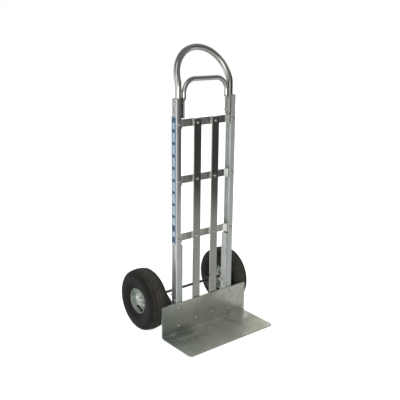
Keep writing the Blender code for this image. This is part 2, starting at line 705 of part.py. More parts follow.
nose_plate(PLATE)
for SIDE, S in SIDES:
    rail(SIDE, S, EXTRUSION)
    center_strip(SIDE, S, STRIP)
    axle_bracket(SIDE, S, CAST)
    axle_cap(SIDE, S, ZINC)
    label(SIDE, S, LABEL)
    wheel(SIDE, S, {"tyre": RUBBER, "tube": BUTYL, "rim": RIM, "hub": ZINC, "bearing": ZINC})
for NAME, Z in zip(BAR_NAMES, BAR_Z):
    crossbar(NAME, Z, CAST)
loop_handle(POLISHED)
grip_handle(POLISHED)
axle(STEEL)
fasteners(ZINC)
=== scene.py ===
import json
import math

import bmesh
import bpy
import numpy as np
from mathutils import Matrix, Vector


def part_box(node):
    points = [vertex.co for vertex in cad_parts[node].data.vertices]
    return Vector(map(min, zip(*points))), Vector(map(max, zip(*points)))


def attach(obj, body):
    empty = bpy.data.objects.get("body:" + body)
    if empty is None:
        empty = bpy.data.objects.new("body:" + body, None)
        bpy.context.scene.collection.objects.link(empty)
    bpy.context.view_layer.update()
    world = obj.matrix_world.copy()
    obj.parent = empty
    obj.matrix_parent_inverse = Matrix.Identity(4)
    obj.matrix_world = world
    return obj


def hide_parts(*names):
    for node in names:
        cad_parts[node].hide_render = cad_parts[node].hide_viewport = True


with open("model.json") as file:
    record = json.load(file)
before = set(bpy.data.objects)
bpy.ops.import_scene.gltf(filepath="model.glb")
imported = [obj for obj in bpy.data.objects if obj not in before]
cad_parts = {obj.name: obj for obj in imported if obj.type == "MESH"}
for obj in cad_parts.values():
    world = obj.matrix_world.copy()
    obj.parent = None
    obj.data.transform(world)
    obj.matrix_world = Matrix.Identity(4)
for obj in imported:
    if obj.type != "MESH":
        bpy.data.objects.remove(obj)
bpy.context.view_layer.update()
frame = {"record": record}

SCENE = bpy.context.scene
SIDES = (("left", -1.0), ("right", 1.0))

# Sizes of the design, in metres. Y is measured from the front face of the nose plate's upright, as in the CAD source,
# and Z from the floor. DY moves that into the frame.
PLATE_T = 0.0055
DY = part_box("nose_plate")[1].y - PLATE_T
PLATE_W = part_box("nose_plate")[1].x * 2
PLATE_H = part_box("nose_plate")[1].z
PLATE_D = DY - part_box("nose_plate")[0].y
RAIL_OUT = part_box("right_rail")[1].x
RAIL_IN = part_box("right_rail")[0].x
RAIL_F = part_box("right_rail")[0].y - DY
RAIL_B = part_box("right_rail")[1].y - DY
RAIL_T = 0.0030
RAIL_Z0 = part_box("right_rail")[0].z
RAIL_Z1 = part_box("right_rail")[1].z
GROOVE_Y0, GROOVE_Y1, GROOVE_D = 0.0190, 0.0305, 0.0015
STRIP_X, STRIP_W, STRIP_T = 0.0460, 0.0370, 0.0050
STRIP_Z0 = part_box("right_center_strip")[0].z
STRIP_Z1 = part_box("right_center_strip")[1].z
BARS = (("lower_crossbar", 0.4180), ("middle_crossbar", 0.6610), ("upper_crossbar", 0.8890))
BAR_BACK, BAR_T, GAP = 0.0285, 0.0050, 0.0003
TAB_X, TAB_END = 0.1400, 0.1465
LOOP_R, LOOP_WALL, LOOP_X, LOOP_Y, LOOP_Z0 = 0.0127, 0.0022, 0.1312, 0.0222, 0.9120
LOOP_BEND_Z, LOOP_BEND_R, LOOP_LEAN, LOOP_ARCH_FROM, LOOP_ARCH_H = 1.0274, 0.0800, 0.3887, 1.0502, 0.1369
GRIP_R, GRIP_WALL, GRIP_X, GRIP_Y, GRIP_Z0, GRIP_TOP, GRIP_CORNER_R = 0.0095, 0.0016, 0.1085, 0.0170, 0.9100, 1.0592, 0.0539
GRIP_FLAT_Z, GRIP_FLAT_X, GRIP_FLAT_T, GRIP_FLAT_W = 0.9840, 0.1145, 0.0070, 0.0250
GRIP_BOLT_Z = (0.9280, 0.9680)
AXLE_Y, AXLE_Z, AXLE_R, AXLE_END = 0.1404, 0.1325, 0.0060, 0.2424
COLLAR_X0, COLLAR_X1, COLLAR_R = 0.1874, 0.1916, 0.0090
BRACKET_X0, BRACKET_X1, BRACKET_TOP = 0.1195, 0.1281, 0.3920
BRACKET_BOLTS = (("top", 0.0325, 0.1700), ("middle", 0.0195, 0.1500), ("bottom", 0.0325, 0.1260))
PLATE_BOLT_Z = (("low", 0.0380), ("high", 0.1200))
PLATE_STRIP_BOLT_Z = 0.0490
WHEEL_X, HUB_R, DISC_U, SHEET_T = 0.2219, 0.0165, 0.0062, 0.0022
TYRE_R = 0.1325


# ---------------------------------------------------------------- materials
class Nodes:
    """A small helper that wires a material's nodes."""

    def __init__(self, name, metallic=0.0, roughness=0.5, base=(0.8, 0.8, 0.8), **sockets):
        self.mat = bpy.data.materials.new(name)
        self.mat.use_nodes = True
        self.nt = self.mat.node_tree
        self.bsdf = next(n for n in self.nt.nodes if n.type == "BSDF_PRINCIPLED")
        self.bsdf.inputs["Base Color"].default_value = (*base, 1.0)
        self.bsdf.inputs["Metallic"].default_value = metallic
        self.bsdf.inputs["Roughness"].default_value = roughness
        for key, value in sockets.items():
            self.bsdf.inputs[key.replace("_", " ")].default_value = value
        self.mat.diffuse_color = (*base, 1.0)
        self.coord = self.nt.nodes.new("ShaderNodeTexCoord").outputs["Object"]

    def put(self, socket, value):
        if hasattr(value, "is_output"):
            self.nt.links.new(value, socket)
        else:
            socket.default_value = value

    def scaled(self, x=1.0, y=1.0, z=1.0, vec=None, turn=(0, 0, 0), shift=(0, 0, 0)):
        n = self.nt.nodes.new("ShaderNodeMapping")
        n.inputs["Scale"].default_value = (x, y, z)
        n.inputs["Rotation"].default_value = turn
        n.inputs["Location"].default_value = shift
        self.nt.links.new(vec or self.coord, n.inputs["Vector"])
        return n.outputs["Vector"]

    def noise(self, vec=None, scale=1.0, detail=3.0, rough=0.5, warp=0.0):
        n = self.nt.nodes.new("ShaderNodeTexNoise")
        n.inputs["Scale"].default_value = scale
        n.inputs["Detail"].default_value = detail
        n.inputs["Roughness"].default_value = rough
        n.inputs["Distortion"].default_value = warp
        self.nt.links.new(vec or self.coord, n.inputs["Vector"])
        return n.outputs["Fac"]

    def voronoi(self, vec=None, scale=1.0, feature="F1", out="Distance"):
        n = self.nt.nodes.new("ShaderNodeTexVoronoi")
        n.feature = feature
        n.inputs["Scale"].default_value = scale
        self.nt.links.new(vec or self.coord, n.inputs["Vector"])
        return n.outputs[out]

    def math(self, op, a, b=0.0, clamp=False):
        n = self.nt.nodes.new("ShaderNodeMath")
        n.operation = op
        n.use_clamp = clamp
        self.put(n.inputs[0], a)
        self.put(n.inputs[1], b)
        return n.outputs[0]

    def span(self, value, a, b, c=0.0, d=1.0, smooth=False):
        n = self.nt.nodes.new("ShaderNodeMapRange")
        n.interpolation_type = "SMOOTHSTEP" if smooth else "LINEAR"
        self.put(n.inputs["Value"], value)
        n.inputs["From Min"].default_value = a
        n.inputs["From Max"].default_value = b
        n.inputs["To Min"].default_value = c
        n.inputs["To Max"].default_value = d
        return n.outputs[0]

    def mix(self, fac, a, b, blend="MIX"):
        n = self.nt.nodes.new("ShaderNodeMix")
        n.data_type = "RGBA"
        n.blend_type = blend
        self.put(n.inputs[0], fac)
        self.put(n.inputs[6], a if hasattr(a, "is_output") else (*a, 1.0))
        self.put(n.inputs[7], b if hasattr(b, "is_output") else (*b, 1.0))
        return n.outputs[2]

    def axes(self, vec=None):
        n = self.nt.nodes.new("ShaderNodeSeparateXYZ")
        self.nt.links.new(vec or self.coord, n.inputs[0])
        return n.outputs

    def bump(self, height, strength=0.3, distance=0.0004, normal=None):
        n = self.nt.nodes.new("ShaderNodeBump")
        n.inputs["Strength"].default_value = strength
        n.inputs["Distance"].default_value = distance
        self.nt.links.new(height, n.inputs["Height"])
        if normal is not None:
            self.nt.links.new(normal, n.inputs["Normal"])
        return n.outputs["Normal"]

    def done(self, color=None, rough=None, normal=None, metallic=None):
        if color is not None:
            self.nt.links.new(color, self.bsdf.inputs["Base Color"])
        if rough is not None:
            self.nt.links.new(rough, self.bsdf.inputs["Roughness"])
        if normal is not None:
            self.nt.links.new(normal, self.bsdf.inputs["Normal"])
        if metallic is not None:
            self.nt.links.new(metallic, self.bsdf.inputs["Metallic"])
        return self.mat


def drawn_metal(name, light, dark, rough, along="Z", streak=0.10, mottle=0.5, bump=0.10, marks=0.5, metal=1.0, painted_flange_reflection=False):
    """Aluminium with fine lines along the direction it was drawn or rolled, dull patches and a few handling marks."""
    m = Nodes(name, metallic=metal, roughness=rough, base=light)
    fine = {"X": (6, 900, 900), "Y": (900, 6, 900), "Z": (900, 900, 6)}[along]
    wide = {"X": (2, 160, 160), "Y": (160, 2, 160), "Z": (160, 160, 2)}[along]
    lines = m.noise(m.scaled(*fine), 1.0, 3.0, 0.6)
    bands = m.noise(m.scaled(*wide), 1.0, 2.0, 0.5)
    cloud = m.noise(None, 14.0, 4.0, 0.6, 0.4)
    spots = m.noise(m.scaled(shift=(3.1, 1.7, 0.4)), 95.0, 3.0, 0.65)
    dull = m.math("MULTIPLY", m.span(cloud, 0.38, 0.66, smooth=True), mottle)
    color = m.mix(dull, light, dark)
    color = m.mix(m.span(spots, 0.60, 0.78, 0.0, 0.45 * marks), color, tuple(c * 0.55 for c in dark))
    color = m.mix(m.span(bands, 0.35, 0.65, 0.0, streak * 1.4), color, tuple(c * 0.78 for c in light))
    # Painted dark reflection: this option darkens the upper part of the left rail's front flange.
    if painted_flange_reflection:
        x, y, z = m.axes()
        edge = m.math("MULTIPLY", m.span(x, -0.1485, -0.1385, smooth=True), m.span(x, -0.1200, -0.1280))
        edge = m.math("MULTIPLY", edge, m.span(m.math("ADD", z, m.span(cloud, 0.3, 0.7, -0.02, 0.02)), 0.52, 0.70, smooth=True))
        color = m.mix(m.math("MULTIPLY", edge, 0.88), color, (0.20, 0.21, 0.20))
    r = m.span(bands, 0.3, 0.7, rough - streak * 0.45, rough + streak * 0.45)
    r = m.math("ADD", r, m.math("MULTIPLY", dull, 0.10))
    r = m.math("ADD", r, m.span(spots, 0.58, 0.80, 0.0, 0.12 * marks))
    r = m.math("ADD", r, m.span(lines, 0.3, 0.7, -0.03, 0.03), clamp=True)
    n = m.bump(lines, bump, 0.00012)
    n = m.bump(cloud, 0.05, 0.0020, n)
    return m.done(color, r, n)


# The left rail's upper front flange carries a painted dark reflection.
RAIL = drawn_metal("rail_drawn_aluminium", (0.80, 0.83, 0.81), (0.68, 0.73, 0.71), 0.35, streak=0.12, bump=0.12, metal=0.72, painted_flange_reflection=True)
# The groove down the rail's web gets a darker copy of the rail metal: painted shade in the groove.
RAIL_GROOVE = drawn_metal("rail_groove_painted_shade", (0.40, 0.43, 0.42), (0.30, 0.33, 0.32), 0.44, streak=0.12, bump=0.12, metal=0.8)
RAIL_EDGE = drawn_metal("rail_worn_edge", (0.84, 0.86, 0.85), (0.72, 0.74, 0.73), 0.30, streak=0.08, bump=0.08, metal=0.8)
STRIP = drawn_metal("strip_drawn_aluminium", (0.54, 0.55, 0.51), (0.44, 0.45, 0.41), 0.11, streak=0.05, bump=0.07, mottle=0.5)
STRIP_EDGE = drawn_metal("strip_worn_edge", (0.70, 0.71, 0.69), (0.58, 0.59, 0.57), 0.20, streak=0.06)


def cast_metal(name, light, dark, rough, grain=420.0, depth=0.35, metal=1.0, painted_shade_depth=None, painted_bar_light_and_shade=False):
    """Cast or stamped aluminium with a fine grain. Behind a given depth, painted shade darkens it, makes it rougher and
    takes most of its metal look away.
    """
    m = Nodes(name, metallic=metal, roughness=rough, base=light)
    grainy = m.noise(None, grain, 3.0, 0.6)
    cloud = m.noise(None, 22.0, 4.0, 0.6, 0.5)
    pits = m.voronoi(None, 260.0)
    color = m.mix(m.span(cloud, 0.36, 0.68, 0.0, 0.8, True), light, dark)
    color = m.mix(m.span(pits, 0.0, 0.16, 0.30, 0.0), color, tuple(c * 0.5 for c in dark))
    if painted_bar_light_and_shade:  # painted shade makes the upper bars darker towards their right end, and painted light makes the lowest one brighter
        x, y, z = m.axes()
        ends = m.math("SUBTRACT", 1.0, m.math("MULTIPLY", m.span(x, 0.1085, 0.1115), m.span(z, 0.86, 0.78)))
        dim = m.math("MULTIPLY", m.math("MULTIPLY", m.span(x, 0.020, 0.105, smooth=True), m.span(z, 0.50, 0.62)), ends)
        color = m.mix(m.math("MULTIPLY", dim, 0.80), color, (0.24, 0.25, 0.235))
        color = m.mix(m.span(z, 0.50, 0.44, 0.0, 0.75), color, (0.74, 0.76, 0.71))
    r = m.math("ADD", m.span(cloud, 0.3, 0.7, rough - 0.05, rough + 0.08), m.span(grainy, 0.3, 0.7, -0.05, 0.05))
    n = m.bump(grainy, depth, 0.00025)
    n = m.bump(pits, 0.12, 0.0004, n)
    if painted_shade_depth is None:
        return m.done(color, r, n)
    y = m.math("ADD", m.axes()[1], m.span(cloud, 0.3, 0.7, -0.006, 0.006))
    # Painted shade: the bracket is darkened behind the rail, where it lies in the tyre's shade.
    shade_behind = m.span(y, painted_shade_depth, painted_shade_depth + 0.016, 0.0, 0.93, True)
    color = m.mix(shade_behind, color, (0.030, 0.027, 0.023))
    r = m.math("ADD", r, m.math("MULTIPLY", shade_behind, 0.22), clamp=True)
    return m.done(color, r, n, m.math("MULTIPLY", m.span(shade_behind, 0.0, 1.0, 1.0, 0.1), metal))


# The crossbars carry painted shade towards the right end of the upper bars and painted light on the lowest bar.
CROSSBAR = cast_metal("crossbar_aluminium", (0.56, 0.58, 0.55), (0.45, 0.47, 0.44), 0.36, 520.0, 0.16, painted_bar_light_and_shade=True)
CROSSBAR_EDGE = cast_metal("crossbar_worn_edge", (0.80, 0.81, 0.79), (0.70, 0.71, 0.69), 0.26, 520.0, 0.10)
CAST = cast_metal("bracket_cast_aluminium", (0.74, 0.77, 0.74), (0.60, 0.64, 0.61), 0.42, 380.0, 0.40, 0.75, DY + 0.046)
CAST_EDGE = cast_metal("bracket_cast_edge", (0.80, 0.82, 0.80), (0.66, 0.69, 0.67), 0.38, 380.0, 0.30, 0.80, DY + 0.046)
# The boss round the axle hole is coloured nearly black: painted shade beside the tyre.
CAST_BOSS = cast_metal("bracket_boss_painted_shade", (0.060, 0.055, 0.048), (0.034, 0.031, 0.027), 0.60, 380.0, 0.40, 0.2)


def polished_tube():
    """Polished aluminium tube: nearly a mirror, with fine polishing lines round the tube and light scuffs."""
    m = Nodes("handle_polished_tube", metallic=1.0, roughness=0.14, base=(0.66, 0.67, 0.65))
    lines = m.noise(m.scaled(120, 120, 1400), 1.0, 2.0, 0.6)
    cloud = m.noise(None, 26.0, 4.0, 0.6, 0.4)
    scuff = m.noise(m.scaled(60, 60, 420, shift=(0.4, 0.2, 0.9)), 1.0, 4.0, 0.7)
    color = m.mix(m.span(cloud, 0.36, 0.68, 0.0, 0.7, True), (0.70, 0.71, 0.69), (0.58, 0.59, 0.55))
    color = m.mix(m.span(scuff, 0.60, 0.78, 0.0, 0.35), color, (0.42, 0.43, 0.41))
    r = m.math("ADD", m.span(cloud, 0.3, 0.7, 0.10, 0.19), m.span(scuff, 0.56, 0.80, 0.0, 0.16))
    x, y, z = m.axes()
    wear_and_painted_reflection = m.math("MULTIPLY", m.span(x, 0.1090, 0.1190), m.span(z, 1.110, 1.020, smooth=True))  # painted dark reflection on the right legs of the loop and the grip
    color = m.mix(m.math("MULTIPLY", wear_and_painted_reflection, 0.90), color, (0.22, 0.24, 0.22))
    r = m.math("ADD", r, m.math("MULTIPLY", wear_and_painted_reflection, 0.10))
    return m.done(color, r, m.bump(lines, 0.05, 0.00010))


def plate_metal(name, light, dark, rough, edge=False, metal=1.0):
    """Rolled aluminium plate: lines across the truck, broad dull patches, and scratches where loads slide on."""
    m = Nodes(name, metallic=metal, roughness=rough, base=light)
    lines = m.noise(m.scaled(5, 700, 700), 1.0, 3.0, 0.6)
    broad = m.noise(m.scaled(1.0, 1.0, 1.0, shift=(0.37, 0.21, 0.11)), 8.5, 3.0, 0.5, 0.6)
    cloud = m.noise(None, 34.0, 4.0, 0.6, 0.4)
    slide = m.noise(m.scaled(620, 9, 9, turn=(0, 0, 0.14)), 1.0, 2.0, 0.55)
    cross = m.noise(m.scaled(520, 12, 12, turn=(0, 0, -0.5), shift=(0.2, 0.3, 0.1)), 1.0, 2.0, 0.55)
    specks = m.voronoi(None, 150.0)
    color = m.mix(m.span(broad, 0.36, 0.64, 0.0, 1.0, True), light, dark)
    color = m.mix(m.span(cloud, 0.40, 0.72, 0.0, 0.35, True), color, tuple(c * 0.80 for c in dark))
    color = m.mix(m.span(slide, 0.66, 0.74, 0.0, 0.30), color, tuple(min(c * 1.35, 0.9) for c in light))
    color = m.mix(m.span(specks, 0.0, 0.10, 0.30, 0.0), color, tuple(c * 0.55 for c in dark))
    x, y, z = m.axes()
    # Painted dark reflection: noisy patches on the toe near the upright, towards both ends, are darkened.
    back = m.math("MULTIPLY", m.span(y, DY - 0.125, DY - 0.055, smooth=True), m.span(z, 0.060, 0.008, smooth=True))
    ends = m.math("MAXIMUM", m.span(x, 0.010, -0.150, smooth=True), m.math("MULTIPLY", m.span(x, 0.060, 0.130, smooth=True), 0.75))
    patch = m.noise(m.scaled(1.0, 1.6, 1.2, shift=(0.52, 0.11, 0.07)), 11.0, 3.0, 0.55, 0.8)
    painted_plate_reflection = m.math("MULTIPLY", m.math("MULTIPLY", m.span(patch, 0.42, 0.56, 0.10, 1.0, True), ends), back)
    color = m.mix(m.math("MULTIPLY", painted_plate_reflection, 0.75), color, (0.25, 0.29, 0.25))
    color = m.mix(m.span(x, -0.110, -0.225, 0.0, 0.40, True), color, (0.46, 0.55, 0.53))
    r = m.span(broad, 0.34, 0.66, rough - 0.05, rough + 0.07)
    r = m.math("ADD", r, m.span(cloud, 0.35, 0.70, -0.03, 0.06))
    r = m.math("ADD", r, m.span(slide, 0.64, 0.74, 0.0, 0.10))
    r = m.math("ADD", r, m.span(cross, 0.67, 0.75, 0.0, 0.08), clamp=True)
    n = m.bump(lines, 0.10 if not edge else 0.05, 0.00015)
    n = m.bump(slide, 0.10, 0.0002, n)
    n = m.bump(broad, 0.04, 0.0030, n)
    return m.done(color, r, n)


PLATE = plate_metal("nose_plate_rolled_aluminium", (0.75, 0.77, 0.70), (0.60, 0.63, 0.52), 0.37, metal=0.84)
PLATE_EDGE = plate_metal("nose_plate_worn_edge", (0.68, 0.70, 0.67), (0.58, 0.60, 0.55), 0.28, True)
TUBE = polished_tube()
TUBE_FLAT = drawn_metal("handle_pressed_flat", (0.40, 0.41, 0.39), (0.30, 0.31, 0.29), 0.40, streak=0.08, bump=0.06, marks=0.8)


def zinc(name, light, dark, rough):
    """Zinc plating: a bright grey with a faint spangle."""
    m = Nodes(name, metallic=1.0, roughness=rough, base=light)
    spangle = m.voronoi(None, 520.0, out="Color")
    s = m.axes(spangle)[0]
    cloud = m.noise(None, 120.0, 4.0, 0.6)
    color = m.mix(m.span(s, 0.0, 1.0, 0.0, 0.5), light, dark)
    color = m.mix(m.span(cloud, 0.48, 0.74, 0.0, 0.5, True), color, tuple(c * 0.66 for c in dark))
    r = m.math("ADD", m.span(s, 0.0, 1.0, rough - 0.05, rough + 0.06), m.span(cloud, 0.35, 0.7, -0.03, 0.10))
    return m.done(color, r, m.bump(cloud, 0.12, 0.0003))


ZINC = zinc("fastener_zinc", (0.76, 0.77, 0.74), (0.62, 0.63, 0.60), 0.24)
CAP = zinc("cap_zinc", (0.70, 0.71, 0.69), (0.56, 0.57, 0.55), 0.28)


def rim_metal():
    """Galvanised pressed steel: soft spangle, grime towards the tyre and the hub."""
    m = Nodes("rim_galvanised_steel", metallic=1.0, roughness=0.34, base=(0.66, 0.70, 0.67))
    spangle = m.axes(m.voronoi(None, 190.0, out="Color"))
    fine = m.noise(None, 700.0, 2.0, 0.6)
    cloud = m.noise(None, 42.0, 4.0, 0.6, 0.6)
    x, y, z = m.axes()
    radius = m.math("SQRT", m.math("ADD", m.math("MULTIPLY", y, y), m.math("MULTIPLY", z, z)))
    grime = m.math("MAXIMUM", m.span(radius, 0.0485, 0.0555, 0.0, 0.90, True), m.span(radius, 0.0190, 0.0250, 0.55, 0.0, True))
    grime = m.math("MULTIPLY", grime, m.span(cloud, 0.25, 0.62, 0.55, 1.0, True))
    color = m.mix(m.span(spangle[0], 0.0, 1.0, 0.0, 0.8), (0.76, 0.81, 0.78), (0.60, 0.65, 0.62))
    color = m.mix(m.span(cloud, 0.42, 0.72, 0.0, 0.45, True), color, (0.44, 0.47, 0.44))
    color = m.mix(grime, color, (0.13, 0.13, 0.115))
    r = m.math("ADD", m.span(spangle[1], 0.0, 1.0, 0.27, 0.40), m.span(cloud, 0.35, 0.70, -0.02, 0.10))
    r = m.math("ADD", r, m.math("MULTIPLY", grime, 0.25), clamp=True)
    n = m.bump(fine, 0.12, 0.0002)
    n = m.bump(cloud, 0.10, 0.0020, n)
    return m.done(color, r, n)


RIM = rim_metal()
HUB = zinc("hub_plated_steel", (0.60, 0.62, 0.60), (0.46, 0.47, 0.46), 0.34)
BEARING = zinc("bearing_steel", (0.62, 0.62, 0.60), (0.50, 0.50, 0.48), 0.20)


def rubber():
    """Tyre rubber: nearly black, matt on the tread with pale brown dust in the grooves, a soft sheen on the sidewall."""
    m = Nodes("tyre_rubber", roughness=0.62, base=(0.020, 0.019, 0.018), Specular_IOR_Level=0.24)
    x, y, z = m.axes()
    radius = m.math("SQRT", m.math("ADD", m.math("MULTIPLY", y, y), m.math("MULTIPLY", z, z)))
    tread = m.span(radius, 0.1215, 0.1275, 0.0, 1.0, True)
    fine = m.noise(None, 1500.0, 3.0, 0.65)
    mid = m.noise(None, 260.0, 4.0, 0.6)
    cloud = m.noise(None, 26.0, 5.0, 0.62, 0.5)
    dust = m.math("MULTIPLY", m.span(cloud, 0.34, 0.70, 0.0, 1.0, True), m.span(tread, 0.0, 1.0, 0.45, 1.0))
    dust = m.math("MULTIPLY", dust, m.span(mid, 0.30, 0.70, 0.55, 1.0))
    groove = m.math("MULTIPLY", tread, m.span(radius, 0.1290, 0.1312, 0.75, 0.0, True))
    color = m.mix(m.math("MULTIPLY", dust, 0.85), (0.0072, 0.0076, 0.0062), (0.0200, 0.0200, 0.0165))
    wear_and_painted_reflection = m.math("MULTIPLY", tread, m.span(cloud, 0.30, 0.66, 0.55, 1.0, True))
    color = m.mix(wear_and_painted_reflection, color, (0.068, 0.0625, 0.0525))
    color = m.mix(m.math("MULTIPLY", groove, 0.6), color, (0.020, 0.017, 0.014))
    r = m.math("ADD", m.span(tread, 0.0, 1.0, 0.50, 0.74), m.math("MULTIPLY", dust, 0.14))
    n = m.bump(fine, 0.30, 0.0002)
    n = m.bump(mid, 0.14, 0.0006, n)
    return m.done(color, r, n)


TYRE = rubber()


def black_rubber(name, base, rough):
    m = Nodes(name, roughness=rough, base=base)
    fine = m.noise(None, 1300.0, 3.0, 0.6)
    cloud = m.noise(None, 70.0, 4.0, 0.6)
    color = m.mix(m.span(cloud, 0.35, 0.70, 0.0, 0.6, True), base, tuple(min(c * 2.2 + 0.006, 1) for c in base))
    return m.done(color, m.span(cloud, 0.3, 0.7, rough - 0.07, rough + 0.10), m.bump(fine, 0.22, 0.0002))


BUTYL = black_rubber("inner_tube_butyl", (0.018, 0.018, 0.018), 0.52)
STEM_CAP = black_rubber("valve_cap_plastic", (0.014, 0.014, 0.015), 0.38)


def axle_steel():
    m = Nodes("axle_steel", metallic=1.0, roughness=0.38, base=(0.22, 0.22, 0.21))
    turned = m.noise(m.scaled(2600, 20, 20), 1.0, 3.0, 0.6)
    cloud = m.noise(None, 60.0, 5.0, 0.65, 0.4)
    rust = m.noise(m.scaled(shift=(1.3, 0.7, 0.2)), 110.0, 5.0, 0.7, 0.3)
    color = m.mix(m.span(cloud, 0.36, 0.66, 0.0, 1.0, True), (0.34, 0.34, 0.33), (0.22, 0.22, 0.21))
    color = m.mix(m.span(rust, 0.60, 0.76, 0.0, 0.55, True), color, (0.13, 0.085, 0.055))
    r = m.math("ADD", m.span(cloud, 0.3, 0.7, 0.30, 0.46), m.span(rust, 0.58, 0.78, 0.0, 0.22))
    return m.done(color, r, m.bump(turned, 0.16, 0.0001))


AXLE = axle_steel()


def label_film():
    """A printed film: a blue band with pale blocks one after another, dark blue between them. It carries no lettering."""
    m = Nodes("rail_label_film", roughness=0.30, base=(0.16, 0.30, 0.48), Coat_Weight=0.35, Coat_Roughness=0.12)
    x, y, z = m.axes()
    y0 = DY + 0.0230
    across = m.math("ABSOLUTE", m.math("SUBTRACT", y, y0))
    pitch = 0.0497
    along = m.math("PINGPONG", m.math("SUBTRACT", z, 0.8630), pitch / 2)  # 0 at each dark blob, pitch/2 between two
    down = m.span(z, 0.918, 0.440, 0.0, 1.0)
    ragged = m.noise(None, 420.0, 3.0, 0.6)
    cloud = m.noise(None, 55.0, 3.0, 0.6)
    ground = m.mix(m.span(down, 0.0, 0.75), (0.115, 0.235, 0.420), (0.30, 0.43, 0.56))
    ground = m.mix(m.span(cloud, 0.35, 0.68, 0.0, 0.45), ground, (0.36, 0.50, 0.62))
    wobble = m.noise(m.scaled(shift=(0.3, 0.8, 0.1)), 130.0, 3.0, 0.6)
    along = m.math("ADD", along, m.span(wobble, 0.3, 0.7, -0.0022, 0.0022))
    edge_y = m.math("ADD", across, m.span(ragged, 0.3, 0.7, -0.0016, 0.0016))
    inside = m.math("MULTIPLY", m.span(edge_y, 0.0086, 0.0066), m.span(along, 0.0056, 0.0088))
    pale = m.mix(m.span(down, 0.0, 1.0), (0.44, 0.60, 0.72), (0.60, 0.68, 0.72))
    color = m.mix(m.math("MULTIPLY", inside, 0.85), ground, pale)
    blob = m.math("MULTIPLY", m.span(edge_y, 0.0106, 0.0080), m.span(along, 0.0064, 0.0040))
    blob = m.math("MULTIPLY", blob, m.math("MULTIPLY", m.span(z, 0.4800, 0.4900), m.span(z, 0.8900, 0.8840)))
    head = m.math("MULTIPLY", m.span(z, 0.8930, 0.8980), m.span(z, 0.9160, 0.9120))
    foot = m.math("MULTIPLY", m.span(z, 0.4020, 0.4060), m.span(z, 0.4320, 0.4280))
    foot = m.math("MAXIMUM", foot, m.math("MULTIPLY", m.span(z, 0.4490, 0.4530), m.span(z, 0.4800, 0.4760)))
    core = m.span(edge_y, 0.0112, 0.0088)
    big = m.math("MULTIPLY", m.math("MAXIMUM", head, foot), core)
    color = m.mix(m.math("MAXIMUM", blob, big), color, (0.030, 0.068, 0.160))
    scratch = m.noise(m.scaled(900, 900, 14, turn=(0.25, 0, 0)), 1.0, 2.0, 0.5)
    color = m.mix(m.span(scratch, 0.68, 0.76, 0.0, 0.30), color, (0.62, 0.68, 0.72))
    r = m.span(cloud, 0.3, 0.7, 0.24, 0.38)
    return m.done(color, r, m.bump(ragged, 0.05, 0.0001))


LABEL = label_film()


# ---------------------------------------------------------------- mesh helpers
def shift(p):
    return Vector((p[0], p[1] + DY, p[2]))


def new_object(name, mesh, mats, angle=None):
    obj = bpy.data.objects.new(name, mesh)
    SCENE.collection.objects.link(obj)
    for mat in mats:
        mesh.materials.append(mat)
    mesh.shade_smooth()
    if angle is not None:
        mesh.set_sharp_from_angle(angle=math.radians(angle))
    return obj


def to_mesh(bm, name, merge=1e-7):
    if merge:
        bmesh.ops.remove_doubles(bm, verts=bm.verts, dist=merge)
    bmesh.ops.recalc_face_normals(bm, faces=bm.faces)
    mesh = bpy.data.meshes.new(name)
    bm.to_mesh(mesh)
    bm.free()
    return mesh


def bevelled(obj, width, segments=2, angle=30.0, material=-1):
    """Rounds the object's sharp edges, and keeps its flat faces flat in the shading."""
    mod = obj.modifiers.new("bevel", "BEVEL")
    mod.width = width
    mod.segments = segments
    mod.limit_method = "ANGLE"
    mod.angle_limit = math.radians(angle)
    mod.harden_normals = True
    mod.use_clamp_overlap = True
    mod.material = material
    deps = bpy.context.evaluated_depsgraph_get()
    mesh = bpy.data.meshes.new_from_object(obj.evaluated_get(deps), preserve_all_data_layers=True, depsgraph=deps)
    mesh.name = obj.name
    obj.modifiers.clear()
    old = obj.data
    obj.data = mesh
    bpy.data.meshes.remove(old)
    return obj


def keep(obj, body, slot, *nodes):
    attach(obj, body)
    if nodes:
        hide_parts(*nodes)
    return obj


def to_xyz(axis, a, b, w):
    if axis == "X":
        return Vector((w, a, b))
    if axis == "Y":
        return Vector((a, w, b))
    return Vector((a, b, w))


def add_prism(bm, outline, axis, lo, hi):
    low = [bm.verts.new(shift(to_xyz(axis, a, b, lo))) for a, b in outline]
    high = [bm.verts.new(shift(to_xyz(axis, a, b, hi))) for a, b in outline]
    n = len(outline)
    bm.faces.new(low[::-1])
    bm.faces.new(high)
    for i in range(n):
        j = (i + 1) % n
        bm.faces.new((low[i], low[j], high[j], high[i]))


def arc(a, b, r, start, end, n):
    return [
        (
            a + r * math.cos(math.radians(start + (end - start) * i / n)),
            b + r * math.sin(math.radians(start + (end - start) * i / n)),
        )
        for i in range(n + 1)
    ]


def lathe(bm, profile, segments, closed=True, wave=None, phase=0.0):
    """Turns a profile of (u, r) points about the X axis. wave(k, i) moves point k of spoke i along the axis."""
    rings = []
    for k, (u, r) in enumerate(profile):
        if r < 1e-9:
            rings.append([bm.verts.new((u, 0, 0))])
            continue
        ring = []
        for i in range(segments):
            a = 2 * math.pi * (i + phase) / segments
            du, dr = wave(k, i) if wave else (0.0, 0.0)
            ring.append(bm.verts.new((u + du, (r + dr) * math.cos(a), (r + dr) * math.sin(a))))
        rings.append(ring)
    count = len(rings)
    for k in range(count if closed else count - 1):
        one, two = rings[k], rings[(k + 1) % count]
        if len(one) == 1 and len(two) == 1:
            continue
        for i in range(segments):
            j = (i + 1) % segments
            if len(one) == 1:
                bm.faces.new((one[0], two[i], two[j]))
            elif len(two) == 1:
                bm.faces.new((one[i], two[0], one[j]))
            else:
                bm.faces.new((one[i], two[i], two[j], one[j]))


